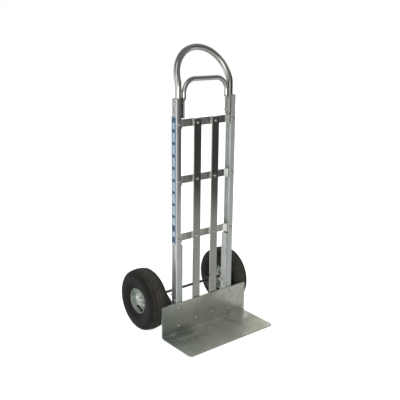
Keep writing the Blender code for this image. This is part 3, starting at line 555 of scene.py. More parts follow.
def smooth_line(points, steps=6):
    """A Catmull-Rom curve through the (u, r) points."""
    out = []
    n = len(points)
    for i in range(n - 1):
        p0, p1, p2, p3 = (Vector(points[max(i - 1, 0)]), Vector(points[i]), Vector(points[i + 1]), Vector(points[min(i + 2, n - 1)]))
        for k in range(steps):
            t = k / steps
            q = 0.5 * ((2 * p1) + (p2 - p0) * t + (2 * p0 - 5 * p1 + 4 * p2 - p3) * t * t + (3 * p1 - p0 - 3 * p2 + p3) * t ** 3)
            out.append((q.x, q.y))
    out.append(tuple(points[-1]))
    return out


def sheet_profile(line, t):
    left, right = [], []
    for i, (u, r) in enumerate(line):
        before, after = line[max(i - 1, 0)], line[min(i + 1, len(line) - 1)]
        d = Vector((after[0] - before[0], after[1] - before[1]))
        n = Vector((-d.y, d.x)).normalized() * (t / 2)
        left.append((u + n.x, r + n.y))
        right.append((u - n.x, r - n.y))
    first = [((left[0][0] * 3 + right[0][0]) / 4, (left[0][1] * 3 + right[0][1]) / 4)]
    return left + right[::-1]


def tube(bm, path, sections, seg=40, square=None):
    """A hollow tube, open at both ends: for each point (normal, half size along it, half size across it, wall)."""
    outer, inner = [], []
    for i, p in enumerate(path):
        t = (path[min(i + 1, len(path) - 1)] - path[max(i - 1, 0)]).normalized()
        n, along, across, wall = sections[i]
        n = (n - t * n.dot(t)).normalized()
        b = t.cross(n)
        power = 1.0 if square is None else square[i]
        ring_o, ring_i = [], []
        for k in range(seg):
            c, s = math.cos(2 * math.pi * k / seg), math.sin(2 * math.pi * k / seg)
            c = math.copysign(abs(c) ** power, c)
            s = math.copysign(abs(s) ** power, s)
            ring_o.append(bm.verts.new(p + n * (c * along) + b * (s * across)))
            ring_i.append(bm.verts.new(p + n * (c * (along - wall)) + b * (s * (across - wall))))
        outer.append(ring_o)
        inner.append(ring_i)
    for rings, flip in ((outer, False), (inner, True)):
        for i in range(len(rings) - 1):
            for k in range(seg):
                j = (k + 1) % seg
                quad = (rings[i][k], rings[i][j], rings[i + 1][j], rings[i + 1][k])
                bm.faces.new(quad[::-1] if flip else quad)
    for end in (0, -1):
        for k in range(seg):
            j = (k + 1) % seg
            quad = (outer[end][k], inner[end][k], inner[end][j], outer[end][j])
            bm.faces.new(quad if end == 0 else quad[::-1])


# ---------------------------------------------------------------- frame pieces
def nose_plate():
    """The bent plate, as a grid of rows from the toe's edge, round the bend, to the upright's top edge."""
    ri, t = 0.0070, PLATE_T
    cy, cz = t - (ri + t), ri + t
    rows = []  # (outer point, inner point, half width); inner is the side that carries the load
    w = PLATE_W / 2
    r = 0.0160
    for k in range(9):
        a = math.pi / 2 * k / 8
        rows.append(((-PLATE_D + r * (1 - math.cos(a)), 0.0), (-PLATE_D + r * (1 - math.cos(a)), t), w - r + r * math.sin(a)))
    for k in range(1, 5):
        y = -PLATE_D + r + (cy - 0.0010 + PLATE_D - r) * k / 4
        rows.append(((y, 0.0), (y, t), w))
    rows.append(((cy, 0.0), (cy, t), w))
    for k in range(1, 15):
        a = math.pi / 2 * k / 14
        rows.append(((cy + (ri + t) * math.sin(a), cz - (ri + t) * math.cos(a)), (cy + ri * math.sin(a), cz - ri * math.cos(a)), w))
    r = 0.0050
    rows += [((t, z), (0.0, z), w) for z in (cz + 0.0010, 0.050, 0.090, PLATE_H - r - 0.0010)]
    for k in range(7):
        a = math.pi / 2 * k / 6
        z = PLATE_H - r + r * math.sin(a)
        rows.append(((t, z), (0.0, z), w - r + r * math.cos(a)))
    cols = [-1.0, -0.75, -0.5, -0.25, 0.0, 0.25, 0.5, 0.75, 1.0]
    bm = bmesh.new()
    grids = [[[bm.verts.new(shift((c * half, *(o if side == 0 else i)))) for c in cols] for o, i, half in rows] for side in (0, 1)]
    m = len(cols) - 1
    for side, grid in enumerate(grids):
        for a in range(len(rows) - 1):
            for b in range(m):
                quad = (grid[a][b], grid[a][b + 1], grid[a + 1][b + 1], grid[a + 1][b])
                bm.faces.new(quad if side else quad[::-1])
    o, i = grids
    for a in range(len(rows) - 1):
        bm.faces.new((o[a][0], o[a + 1][0], i[a + 1][0], i[a][0]))
        bm.faces.new((o[a][m], i[a][m], i[a + 1][m], o[a + 1][m]))
    for b in range(m):
        bm.faces.new((o[0][b], i[0][b], i[0][b + 1], o[0][b + 1]))
        bm.faces.new((o[-1][b], o[-1][b + 1], i[-1][b + 1], i[-1][b]))
    obj = new_object("nose_plate_rounded", to_mesh(bm, "nose_plate_rounded"), (PLATE, PLATE_EDGE))
    bevelled(obj, 0.0008, 3, 40, 1)
    keep(obj, "frame", "nose_plate", "nose_plate")


def rail(side, s):
    """A channel extrusion with rounded outer corners, small inner fillets and the shallow groove down its web."""
    out, inn, t = RAIL_OUT, RAIL_IN, RAIL_T
    r = 0.0042
    outline = [(inn, RAIL_F), (out - r - 0.0006, RAIL_F)]
    outline += arc(out - r, RAIL_F + r, r, -90, 0, 8)
    outline += [(out, RAIL_F + r + 0.0006), (out, GROOVE_Y0 - 0.0003), (out - 0.0002, GROOVE_Y0), (out - GROOVE_D, GROOVE_Y0 + GROOVE_D), (out - GROOVE_D, GROOVE_Y1 - GROOVE_D),
                (out - 0.0002, GROOVE_Y1), (out, GROOVE_Y1 + 0.0003), (out, RAIL_B - r - 0.0006)]
    outline += arc(out - r, RAIL_B - r, r, 0, 90, 8)
    outline += [(inn, RAIL_B), (inn, RAIL_B - t)]
    f = 0.0014
    outline += [(x, y) for x, y in arc(out - t - f, RAIL_B - t - f, f, 90, 0, 4)]
    outline += [(x, y) for x, y in arc(out - t - f, RAIL_F + t + f, f, 0, -90, 4)]
    outline += [(inn, RAIL_F + t)]
    bm = bmesh.new()
    add_prism(bm, [(s * x, y) for x, y in outline], "Z", RAIL_Z0, RAIL_Z1)
    mesh = to_mesh(bm, "rail")
    # Faces in the groove take the darker material, a painted shade.
    for face in mesh.polygons:
        at = face.center.y - DY
        if GROOVE_Y0 < at < GROOVE_Y1 and abs(face.center.x) > out - GROOVE_D - 0.0002:
            face.material_index = 2
    obj = new_object(f"{side}_rail_extrusion", mesh, (RAIL, RAIL_EDGE, RAIL_GROOVE))
    bevelled(obj, 0.00045, 2, 40, 1)
    keep(obj, "frame", "rail", f"{side}_rail")


def center_strip(side, s):
    w, r, x = STRIP_W / 2, 0.0110, s * STRIP_X
    outline = arc(x - w + 0.0015, STRIP_Z0 + 0.0015, 0.0015, 180, 270, 3) + arc(x + w - 0.0015, STRIP_Z0 + 0.0015, 0.0015, 270, 360, 3)
    outline += arc(x + w - r, STRIP_Z1 - r, r, 0, 90, 12)
    outline += arc(x - w + r, STRIP_Z1 - r, r, 90, 180, 12)
    bm = bmesh.new()
    add_prism(bm, outline, "Y", RAIL_F, RAIL_F + STRIP_T)
    obj = new_object(f"{side}_center_strip_bar", to_mesh(bm, "strip"), (STRIP, STRIP_EDGE))
    bevelled(obj, 0.0009, 3, 35, 1)
    keep(obj, "frame", "strip", f"{side}_center_strip")


def crossbar(name, z):
    """A bar that steps forward behind the rails' front flanges and has a raised pad behind each strip."""
    front = RAIL_F + STRIP_T + GAP
    tab_f = RAIL_F + RAIL_T + GAP
    tab_b = tab_f + BAR_T
    bar_f = BAR_BACK - BAR_T
    pad = 0.0125
    fpts = [(0, bar_f), (STRIP_X - pad, bar_f), (STRIP_X - pad + 0.0012, front), (STRIP_X + pad - 0.0012, front), (STRIP_X + pad, bar_f),
            (0.1080, bar_f), (0.1110, bar_f - 0.0012), (0.1215, tab_f + 0.0012), (0.1245, tab_f), (TAB_END, tab_f)]
    bpts = [(0, BAR_BACK), (0.1110, BAR_BACK), (0.1135, BAR_BACK - 0.0008), (0.1245, tab_b + 0.0008), (0.1262, tab_b), (TAB_END, tab_b)]
    hpts = [(0, 0.0150), (0.1095, 0.0150), (0.1110, 0.0151), (0.1230, 0.0194), (0.1245, 0.0195), (TAB_END, 0.0195)]

    def at(points, x):
        for (x0, v0), (x1, v1) in zip(points, points[1:]):
            if x0 <= x <= x1:
                return v0 + (v1 - v0) * (x - x0) / (x1 - x0)
        return points[-1][1]

    near = (0.0010, STRIP_X - pad - 0.0010, STRIP_X - pad + 0.0022, STRIP_X + pad - 0.0022, STRIP_X + pad + 0.0010, 0.0850, 0.1068, 0.1272)
    xs = sorted({round(x, 5) for x, _ in fpts + bpts + hpts} | set(near))
    xs = [-x for x in xs[::-1] if x > 0] + xs
    bm = bmesh.new()
    rings = []
    for x in xs:
        a = abs(x)
        yf, yb, h = at(fpts, a), at(bpts, a), at(hpts, a)
        rings.append([bm.verts.new(shift(p)) for p in ((x, yf, z - h), (x, yb, z - h), (x, yb, z + h), (x, yf, z + h))])
    bm.faces.new(rings[0][::-1])
    bm.faces.new(rings[-1])
    for one, two in zip(rings, rings[1:]):
        for k in range(4):
            j = (k + 1) % 4
            bm.faces.new((one[k], one[j], two[j], two[k]))
    obj = new_object(f"{name}_casting", to_mesh(bm, "crossbar"), (CROSSBAR, CROSSBAR_EDGE))
    bevelled(obj, 0.0009, 3, 24, 1)
    keep(obj, "frame", "crossbar", name)


def loop_point(x, t):
    turn = LOOP_BEND_R * LOOP_LEAN
    if t <= LOOP_BEND_Z:
        y, z = 0.0, t
    elif t <= LOOP_BEND_Z + turn:
        a = (t - LOOP_BEND_Z) / LOOP_BEND_R
        y, z = LOOP_BEND_R * (1 - math.cos(a)), LOOP_BEND_Z + LOOP_BEND_R * math.sin(a)
    else:
        rest = t - LOOP_BEND_Z - turn
        y = LOOP_BEND_R * (1 - math.cos(LOOP_LEAN)) + rest * math.sin(LOOP_LEAN)
        z = LOOP_BEND_Z + LOOP_BEND_R * math.sin(LOOP_LEAN) + rest * math.cos(LOOP_LEAN)
    return shift((x, LOOP_Y + y, z))


def loop_handle():
    n = 28
    legs = [(-LOOP_X, LOOP_Z0 + (LOOP_ARCH_FROM - LOOP_Z0) * k / n) for k in range(n)]
    flat = list(legs)
    steps = 110
    for i in range(steps + 1):
        a = math.pi * i / steps
        flat.append((-LOOP_X * math.cos(a), LOOP_ARCH_FROM + LOOP_ARCH_H * math.sin(a)))
    flat += [(-x, t) for x, t in legs[::-1]]
    path = [loop_point(x, t) for x, t in flat]
    bm = bmesh.new()
    tube(bm, path, [(Vector((0, 1, 0)), LOOP_R, LOOP_R, LOOP_WALL)] * len(path), 40)
    obj = new_object("loop_handle_tube", to_mesh(bm, "loop"), (TUBE,), 50)
    keep(obj, "frame", "handle_tube", "loop_handle")


def grip_handle():
    half = []
    heights = [GRIP_Z0 + (GRIP_FLAT_Z - 0.012 - GRIP_Z0) * k / 10 for k in range(10)]
    heights += [GRIP_FLAT_Z - 0.012 + 0.020 * k / 14 for k in range(15)] + [0.9970, 1.0020]
    for z in heights:
        f = min(max((GRIP_FLAT_Z + 0.006 - z) / 0.016, 0.0), 1.0)
        f = f * f * (3 - 2 * f)
        half.append((GRIP_X + (GRIP_FLAT_X - GRIP_X) * f, z, f))
    r = GRIP_CORNER_R
    for i in range(25):
        a = math.radians(90 * i / 24)
        half.append((GRIP_X - r + r * math.cos(a), GRIP_TOP - r + r * math.sin(a), 0.0))
    both = [(-x, z, f) for x, z, f in half] + [(x, z, f) for x, z, f in half[::-1]]
    path = [shift((x, GRIP_Y, z)) for x, z, f in both]
    sections, square = [], []
    for x, z, f in both:
        wide = GRIP_R + (GRIP_FLAT_W / 2 - GRIP_R) * f
        thin = GRIP_R + (GRIP_FLAT_T / 2 - GRIP_R) * f
        sections.append((Vector((0, 1, 0)), wide, thin, GRIP_WALL))
        square.append(1.0 - 0.45 * f)
    bm = bmesh.new()
    tube(bm, path, sections, 36, square)
    mesh = to_mesh(bm, "grip")
    for face in mesh.polygons:
        if abs(face.normal.x) > 0.8 and face.center.z < GRIP_FLAT_Z + 0.006:
            face.material_index = 1
    obj = new_object("grip_handle_tube", mesh, (TUBE, TUBE_FLAT), 50)
    keep(obj, "frame", "handle_tube", "grip_handle")


def axle_bracket(side, s):
    """A cast bracket with a block that fills the channel, an arm back to the axle and a raised boss round its hole."""
    outline = arc(0.0100, 0.0310, 0.0030, 180, 270, 4) + [(0.0400, 0.0280), (0.0700, 0.0560)]
    outline += arc(AXLE_Y, AXLE_Z, 0.0160, -51, 124, 22)
    outline += [(0.0430, 0.0868)] + arc(0.0440, 0.0905, 0.0040, 250, 180, 5)
    outline += arc(0.0340, BRACKET_TOP - 0.006, 0.006, 0, 90, 6) + arc(0.0130, BRACKET_TOP - 0.006, 0.006, 90, 180, 6)
    bm = bmesh.new()
    lo, hi = sorted((s * BRACKET_X0, s * (RAIL_IN - 0.0002)))
    add_prism(bm, outline, "X", lo, hi)
    obj = new_object(f"{side}_axle_bracket_casting", to_mesh(bm, "bracket"), (CAST, CAST_EDGE))
    bevelled(obj, 0.0007, 3, 24, 1)
    keep(obj, "frame", "bracket", f"{side}_axle_bracket")
    lo, hi = sorted((s * (BRACKET_X1 - 0.001), s * (RAIL_OUT - RAIL_T - GAP)))
    block = [(RAIL_F + RAIL_T + 0.0006, 0.1360), (RAIL_B - RAIL_T - 0.0006, 0.1360),
             (RAIL_B - RAIL_T - 0.0006, 0.1820), (RAIL_F + RAIL_T + 0.0006, 0.1820)]
    bm = bmesh.new()
    add_prism(bm, block, "X", lo, hi)
    obj = new_object(f"{side}_axle_bracket_block", to_mesh(bm, "block"), (CAST, CAST_EDGE))
    bevelled(obj, 0.0014, 3, 30, 1)
    keep(obj, "frame", "bracket", f"{side}_axle_bracket")
    bm = bmesh.new()
    a, b = BRACKET_X0 - 0.0016, BRACKET_X1 + 0.0016
    profile = [(a + 0.0006, 0.0062), (a, 0.0068), (a, 0.0112), (a + 0.0003, 0.0121), (a + 0.0010, 0.0126), (b - 0.0010, 0.0126),
               (b - 0.0003, 0.0121), (b, 0.0112), (b, 0.0068), (b - 0.0006, 0.0062)]
    lathe(bm, profile, 40)
    mesh = to_mesh(bm, "boss")
    obj = new_object(f"{side}_axle_bracket_boss", mesh, (CAST_BOSS,), 40)
    obj.location = shift((0, AXLE_Y, AXLE_Z))
    obj.rotation_euler = (0, 0, 0 if s > 0 else math.pi)
    keep(obj, "frame", "bracket", f"{side}_axle_bracket")


def axle():
    c = 0.0009
    half = [(COLLAR_X0, AXLE_R), (COLLAR_X0, COLLAR_R - 0.0005), (COLLAR_X0 + 0.0005, COLLAR_R), (COLLAR_X1 - 0.0005, COLLAR_R),
            (COLLAR_X1, COLLAR_R - 0.0005), (COLLAR_X1, AXLE_R), (AXLE_END - c, AXLE_R), (AXLE_END, AXLE_R - c), (AXLE_END, 0.0)]
    profile = [(-u, r) for u, r in half[::-1]] + half
    bm = bmesh.new()
    lathe(bm, profile, 36, closed=False)
    obj = new_object("axle_rod", to_mesh(bm, "axle"), (AXLE,), 32)
    obj.location = shift((0, AXLE_Y, AXLE_Z))
    keep(obj, "frame", "axle", "axle")


def label(side, s):
    """A thin film with rounded corners along the rail's web."""
    y0, y1, z0, z1, r, t = 0.0082, 0.0376, 0.3980, 0.9180, 0.0030, 0.0004
    outline = arc(y0 + r, z0 + r, r, 180, 270, 6) + arc(y1 - r, z0 + r, r, 270, 360, 6)
    outline += arc(y1 - r, z1 - r, r, 0, 90, 6) + arc(y0 + r, z1 - r, r, 90, 180, 6)
    bm = bmesh.new()
    lo, hi = sorted((s * (RAIL_OUT + 0.00005), s * (RAIL_OUT + GAP + t)))
    add_prism(bm, outline, "X", lo, hi)
    obj = new_object(f"{side}_rail_label_film", to_mesh(bm, "label"), (LABEL,))
    bevelled(obj, 0.00012, 1, 40)
    keep(obj, "frame", "label", f"{side}_rail_label")


# ---------------------------------------------------------------- fasteners
FASTENER_MESHES = {}


def fastener_mesh(grip, head_r=0.0064):
    """A button-head bolt with a washer under its head, a hexagonal nut on a washer and the thread's end beyond it."""
    key = (round(grip, 6), head_r)
    if key in FASTENER_MESHES:
        return FASTENER_MESHES[key]
    bm = bmesh.new()
    seg = 28
    head = [(-0.0036, 0.0)]
    for k in range(1, 9):
        a = math.radians(90 * k / 8)
        head.append((-0.0012 - 0.0024 * math.cos(a), head_r * math.sin(a) ** 0.85))
    head += [(-0.0011, head_r), (-0.0009, head_r - 0.0002), (-0.0009, 0.0037), (grip, 0.0037), (grip, 0.0)]
    lathe(bm, head, seg, closed=False)

    def washer(u0, u1, r):
        lathe(bm, [(u0, 0.0038), (u1, 0.0038), (u1, r - 0.0002), (u1 - 0.0002, r), (u0 + 0.0002, r), (u0, r - 0.0002)], seg)

    washer(-0.0009, 0.00025, head_r + 0.0014)
    washer(grip - 0.00025, grip + 0.0009, 0.0074)
    # the nut: a hexagon whose corners are turned off at both faces
    u0, u1 = grip + 0.0009, grip + 0.0052
    flat = 0.0057
    rings = []
    n = 36
    for u, cap in ((u0, 0.0056), (u0 + 0.0006, 0.0066), (u1 - 0.0006, 0.0066), (u1, 0.0056)):
        ring = []
        for i in range(n):
            a = 2 * math.pi * i / n
            hexagon = flat / math.cos((a + math.pi / 6) % (math.pi / 3) - math.pi / 6)
            r = min(hexagon, cap)
            ring.append(bm.verts.new((u, r * math.cos(a), r * math.sin(a))))
        rings.append(ring)
    for one, two in zip(rings, rings[1:]):
        for i in range(n):
            j = (i + 1) % n
            bm.faces.new((one[i], two[i], two[j], one[j]))
    bm.faces.new(rings[0])
    bm.faces.new(rings[-1][::-1])
    # the thread's end
    tip = [(u1 - 0.0005, 0.0)]
    turns = 3
    for k in range(turns):
        u = u1 + 0.00035 * k
        tip += [(u, 0.0033), (u + 0.00018, 0.0036)]
    tip += [(u1 + 0.00105, 0.0031), (u1 + 0.0012, 0.0028), (u1 + 0.0012, 0.0)]
    lathe(bm, tip, seg, closed=False)
    mesh = to_mesh(bm, f"fastener_{int(round(grip * 1e5))}", merge=0)
    mesh.materials.append(ZINC)
    mesh.shade_smooth()
    mesh.set_sharp_from_angle(angle=math.radians(38))
    FASTENER_MESHES[key] = mesh
    return mesh


def bolt(name, at, axis, grip, spin, head_r=0.0064):
    obj = bpy.data.objects.new(f"{name}_set", fastener_mesh(grip, head_r))
    SCENE.collection.objects.link(obj)
    obj.location = shift(at)
    turn = {"+X": 0.0, "-X": math.pi, "+Y": math.pi / 2}[axis]
    obj.rotation_mode = "QUATERNION"
    obj.rotation_quaternion = (Matrix.Rotation(turn, 3, "Z") @ Matrix.Rotation(spin, 3, "X")).to_quaternion()
    keep(obj, "frame", "fastener", name)


def fasteners():
    count = 0
    for side, s in SIDES:
        for name, z in BARS:
            where = name.split("_")[0]
            count += 1
            bolt(f"{side}_strip_{where}_bolt", (s * STRIP_X, RAIL_F - GAP, z), "+Y", BAR_BACK - RAIL_F + 2 * GAP, 0.7 * count, 0.0052)
            count += 1
            bolt(f"{side}_rail_{where}_bolt", (s * TAB_X, RAIL_F - GAP, z), "+Y", RAIL_T + GAP + BAR_T + 2 * GAP, 0.7 * count)
        for where, z in PLATE_BOLT_Z:
            count += 1
            bolt(f"{side}_nose_rail_{where}_bolt", (s * TAB_X, -GAP, z), "+Y", RAIL_F + RAIL_T + 2 * GAP, 0.7 * count)
        count += 1
        bolt(f"{side}_nose_strip_bolt", (s * STRIP_X, -GAP, PLATE_STRIP_BOLT_Z), "+Y", RAIL_F + STRIP_T + 2 * GAP, 0.7 * count)
        toward = "-X" if s > 0 else "+X"
        for where, z in zip(("low", "high"), GRIP_BOLT_Z):
            count += 1
            bolt(f"{side}_grip_{where}_bolt", (s * (RAIL_OUT + GAP), LOOP_Y - 0.0025, z), toward,
                 RAIL_OUT + GAP - (GRIP_FLAT_X - GRIP_FLAT_T / 2) + GAP, 0.7 * count)
        for where, y, z in BRACKET_BOLTS:
            count += 1
            bolt(f"{side}_bracket_{where}_bolt", (s * (RAIL_OUT + GAP), y, z), toward, RAIL_OUT + GAP - BRACKET_X0 + GAP, 0.7 * count)


# ---------------------------------------------------------------- wheels
def wheel(side, s):
    body = f"{side}_wheel"
    lo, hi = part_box(f"{side}_tyre")
    center = (lo + hi) / 2

    def put(name, bm, mats, slot, nodes, angle=None, merge=1e-7):
        obj = new_object(f"{side}_{name}", to_mesh(bm, name, merge), mats, angle)
        obj.location = center
        obj.rotation_euler = (0, 0, 0 if s > 0 else math.pi)
        keep(obj, body, slot, *[f"{side}_{n}" for n in nodes])
        return obj

    # tyre: a smooth sidewall with raised rings, and five ribs with grooves that weave slightly
    wall = smooth_line([(0.0278, 0.0534), (0.0284, 0.0556), (0.0312, 0.0574), (0.0342, 0.0594), (0.0372, 0.0668), (0.0412, 0.0760), (0.0440, 0.0860), (0.0446, 0.0945),
                        (0.0439, 0.1040), (0.0420, 0.1120), (0.0388, 0.1190), (0.0345, 0.1246), (0.0310, 0.1274)], 6)
    marks = {0.0640: 0.0007, 0.0690: 0.0004, 0.1060: 0.0005, 0.1105: 0.0005, 0.1190: 0.0006}
    side_line = []
    for i, (u, r) in enumerate(wall):
        lift = sum(h * max(0.0, 1 - abs(r - at) / 0.0017) ** 0.7 for at, h in marks.items())
        side_line.append((u + lift * 0.8, r, 0))
    crown = lambda u: TYRE_R - 5.2 * u * u
    tread = []
    grooves = (0.0232, 0.0085, -0.0085, -0.0232)
    u = 0.0296
    for g, at in enumerate(grooves):
        edge = at + 0.0013
        for k in range(3):
            q = (0.0296 if g == 0 else grooves[g - 1] - 0.0013)
            v = q + (edge - q) * k / 3
            tread.append((v, crown(v) - (0.0004 if k == 0 else 0.0), 0))
        tread += [(edge, crown(edge) - 0.0003, 1), (at + 0.0008, crown(at) - 0.0016, 1), (at, crown(at) - 0.0018, 1),
                  (at - 0.0008, crown(at) - 0.0016, 1), (at - 0.0013, crown(at) - 0.0003, 1)]
    for k in range(1, 4):
        v = grooves[-1] - 0.0013 + (-0.0296 - grooves[-1] + 0.0013) * k / 3
        tread.append((v, crown(v) - (0.0004 if k == 3 else 0.0), 0))
    outer = side_line + tread + [(-u, r, 0) for u, r, w in side_line[::-1]]
    inner_half = smooth_line([(0.0215, 0.0534), (0.0300, 0.0680), (0.0345, 0.0790), (0.0375, 0.0935), (0.0345, 0.1080), (0.0210, 0.1210), (0.0, 0.1240)], 3)
    inner = [(-u, r, 0) for u, r in inner_half[:-1]] + [(u, r, 0) for u, r in inner_half[::-1]]
    line = outer + inner
    weave = [0.0, 0.0009, 0.0, -0.0009]
    bm = bmesh.new()
    lathe(bm, [(u, r) for u, r, w in line], 216, wave=lambda k, i: (weave[i % 4] if line[k][2] else 0.0, 0.0))
    put("tyre_tread", bm, (TYRE,), "tyre", ["tyre"], 38)

    # inner tube and its valve
    ring = smooth_line([(0.0, 0.0545), (0.0160, 0.0560), (0.0290, 0.0790), (0.0330, 0.0935), (0.0290, 0.1070), (0.0150, 0.1170), (0.0, 0.1200)], 3)
    ring = ring + [(-u, r) for u, r in ring[1:-1][::-1]]
    bm = bmesh.new()
    lathe(bm, ring, 64)
    put("inner_tube_ring", bm, (BUTYL,), "inner_tube", ["inner_tube"], 60)
    a, b = Vector((0.0095, 0, -0.0560)), Vector((0.0360, 0, -0.0200))
    length = (b - a).length
    stem = [(0.0, 0.0)] + [(0.0, 0.0056), (0.0022, 0.0066), (0.0042, 0.0064), (0.0062, 0.0056), (0.0090, 0.0050), (0.0240, 0.0047),
                           (0.0250, 0.0042), (0.0285, 0.0042), (0.0285, 0.0)]
    bm = bmesh.new()
    lathe(bm, stem, 24, closed=False)
    cap0 = 0.0280
    cap = [(cap0, 0.0), (cap0, 0.0046), (cap0 + 0.0006, 0.0052), (length - 0.0030, 0.0050), (length - 0.0012, 0.0044), (length - 0.0003, 0.0027), (length, 0.0)]
    first = len(bm.faces)
    lathe(bm, cap, 32, closed=False, wave=lambda k, i: (0.0, -0.00025 if (i % 2 and 1 < k < 5) else 0.0))
    bm.faces.ensure_lookup_table()
    for f in list(bm.faces)[first:]:
        f.material_index = 1
    x_axis = (b - a).normalized()
    y_axis = Vector((0, 1, 0))
    turn = Matrix((x_axis, y_axis, x_axis.cross(y_axis))).transposed().to_4x4()
    bmesh.ops.transform(bm, matrix=Matrix.Translation(a) @ turn, verts=bm.verts)
    put("valve_stem_and_cap", bm, (BUTYL, STEM_CAP), "inner_tube", ["inner_tube"], 40, merge=0)

    # rims: a rolled lip, a deep bowl, and a ring pressed into the disc
    lip = [(0.0313, 0.0552), (0.0322, 0.0557), (0.0331, 0.0552), (0.0334, 0.0542), (0.0329, 0.0530), (0.0315, 0.0521), (0.0292, 0.0516)]
    bowl = lip + [(0.0240, 0.0508), (0.0150, 0.0503), (0.0105, 0.0492), (0.0078, 0.0472), (0.0064, 0.0444), (0.0061, 0.0415), (0.0064, 0.0385),
                  (0.0078, 0.0362), (0.0083, 0.0340), (0.0078, 0.0315), (0.0064, 0.0292), (0.0062, 0.0260), (0.0062, 0.0215), (0.0066, 0.0190),
                  (0.0076, 0.0168)]
    line = smooth_line(bowl, 4)
    bm = bmesh.new()
    lathe(bm, sheet_profile(line, SHEET_T), 96)
    put("rim_outer_pressing", bm, (RIM,), "rim", ["rim_outer_half"], 45)
    d = DISC_U - SHEET_T - GAP
    back = [(-u, r) for u, r in lip] + [(-0.0200, 0.0510), (-0.0050, 0.0505), (d - 0.0030, 0.0486), (d - 0.0004, 0.0460), (d, 0.0430), (d, 0.0300), (d, HUB_R + 0.0004)]
    bm = bmesh.new()
    lathe(bm, sheet_profile(smooth_line(back, 4), SHEET_T), 96)
    put("rim_inner_pressing", bm, (RIM,), "rim", ["rim_inner_half"], 45)

    # hub with a weld bead each side of the disc
    hub = [(-0.0300, 0.0159), (-0.0297, 0.0163), (-0.0292, HUB_R), (0.0012, HUB_R)]
    hub += [(0.0014 + 0.0014 * (1 - math.cos(a)) * 0.5, HUB_R + 0.0021 * math.sin(a / 2) ** 1.0) for a in (0.6, 1.4, 2.2)] + [(0.0030, HUB_R + 0.0010)]
    hub += [(0.0084, HUB_R + 0.0022), (0.0093, HUB_R + 0.0019), (0.0101, HUB_R + 0.0009), (0.0107, HUB_R)]
    hub += [(0.0160, HUB_R), (0.0166, 0.0163), (0.0170, 0.0158), (0.0170, 0.0146), (0.0167, 0.0143), (0.0085, 0.0143), (0.0085, 0.0120),
            (-0.0215, 0.0120), (-0.0215, 0.0143), (-0.0297, 0.0143), (-0.0300, 0.0146)]
    bm = bmesh.new()

    def bead(k, i):
        rough = 0.00022 * math.sin(i * 1.05 + 0.8 * math.sin(i * 0.31)) if 8 <= k <= 10 else 0.0
        return 0.0, rough

    lathe(bm, hub, 84, wave=bead)
    put("hub_tube", bm, (HUB,), "hub", ["hub"], 38)

    for where, face, inward in (("outer", 0.0166, -1.0), ("inner", -0.0296, 1.0)):
        k = inward
        ring = [(face + k * 0.0076, 0.0064), (face + k * 0.0076, 0.0138), (face + k * 0.0004, 0.0138), (face, 0.0134), (face, 0.0124),
                (face + k * 0.0007, 0.0120), (face + k * 0.0009, 0.0112), (face + k * 0.0006, 0.0104), (face + k * 0.0009, 0.0094),
                (face + k * 0.0007, 0.0087), (face, 0.0084), (face, 0.0068), (face + k * 0.0004, 0.0064)]
        bm = bmesh.new()
        lathe(bm, ring, 56)
        put(f"{where}_bearing_ring", bm, (BEARING,), "bearing", [f"{where}_bearing"], 30)


def axle_cap(side, s):
    c0 = WHEEL_X + 0.0170 + GAP
    end = AXLE_END + GAP
    profile = [(c0, 0.0063), (c0, 0.0098), (c0 + 0.0003, 0.0101), (c0 + 0.0015, 0.0101), (c0 + 0.0019, 0.0097), (c0 + 0.0023, 0.0088)]
    for k in range(1, 9):
        a = math.radians(90 * k / 8)
        profile.append((c0 + 0.0026 + (end + 0.0026 - c0 - 0.0026) * math.sin(a), 0.0082 * math.cos(a) ** 0.7 if k < 8 else 0.0))
    profile += [(end, 0.0), (end, 0.0063)]
    bm = bmesh.new()
    lathe(bm, profile, 44)
    obj = new_object(f"{side}_axle_cap_dome", to_mesh(bm, "axle_cap"), (CAP,), 38)
    obj.location = shift((0, AXLE_Y, AXLE_Z))
    obj.rotation_euler = (0, 0, 0 if s > 0 else math.pi)
    body = next(b for b, members in frame["record"]["behaviour"]["bodies"].items() if f"{side}_axle_cap" in members)
    keep(obj, body, "cap", f"{side}_axle_cap")


nose_plate()
for SIDE, S in SIDES:
    rail(SIDE, S)
    center_strip(SIDE, S)
    axle_bracket(SIDE, S)
    axle_cap(SIDE, S)
    label(SIDE, S)
    wheel(SIDE, S)
for NAME, Z in BARS:
    crossbar(NAME, Z)
loop_handle()
grip_handle()
axle()
fasteners()


# ---------------------------------------------------------------- floor, light and camera
def floor():
    """A plain pale floor, lit mostly by itself, so that only a faint contact shadow shows. Its glow is weaker near the
    object, a painted shadow round it.
    """
    bm = bmesh.new()
    n = 24
    verts = [[bm.verts.new((-9 + 18 * i / n, -9 + 18 * j / n, -0.0002)) for j in range(n + 1)] for i in range(n + 1)]
    for i in range(n):
        for j in range(n):
            bm.faces.new((verts[i][j], verts[i + 1][j], verts[i + 1][j + 1], verts[i][j + 1]))
    m = Nodes("studio_floor", roughness=0.9, base=(0.86, 0.86, 0.85), Specular_IOR_Level=0.0)
    m.bsdf.inputs["Emission Color"].default_value = (1.0, 1.0, 1.0, 1.0)
    x, y, z = m.axes()
    away = m.math("SQRT", m.math("ADD", m.math("MULTIPLY", x, x), m.math("MULTIPLY", y, y)))
    # Painted shadow: the floor glows less within 1.6 m of the middle, round the truck.
    m.put(m.bsdf.inputs["Emission Strength"], m.span(away, 0.4, 1.6, 0.86, 1.0, True))
    cloud = m.noise(None, 1.5, 2.0, 0.5)
    color = m.mix(m.span(cloud, 0.3, 0.7), (0.86, 0.86, 0.855), (0.88, 0.88, 0.88))
    mat = m.done(color)
    obj = new_object("studio_floor", to_mesh(bm, "studio_floor"), (mat,))
    obj.visible_glossy = False
    obj.visible_diffuse = False


floor()


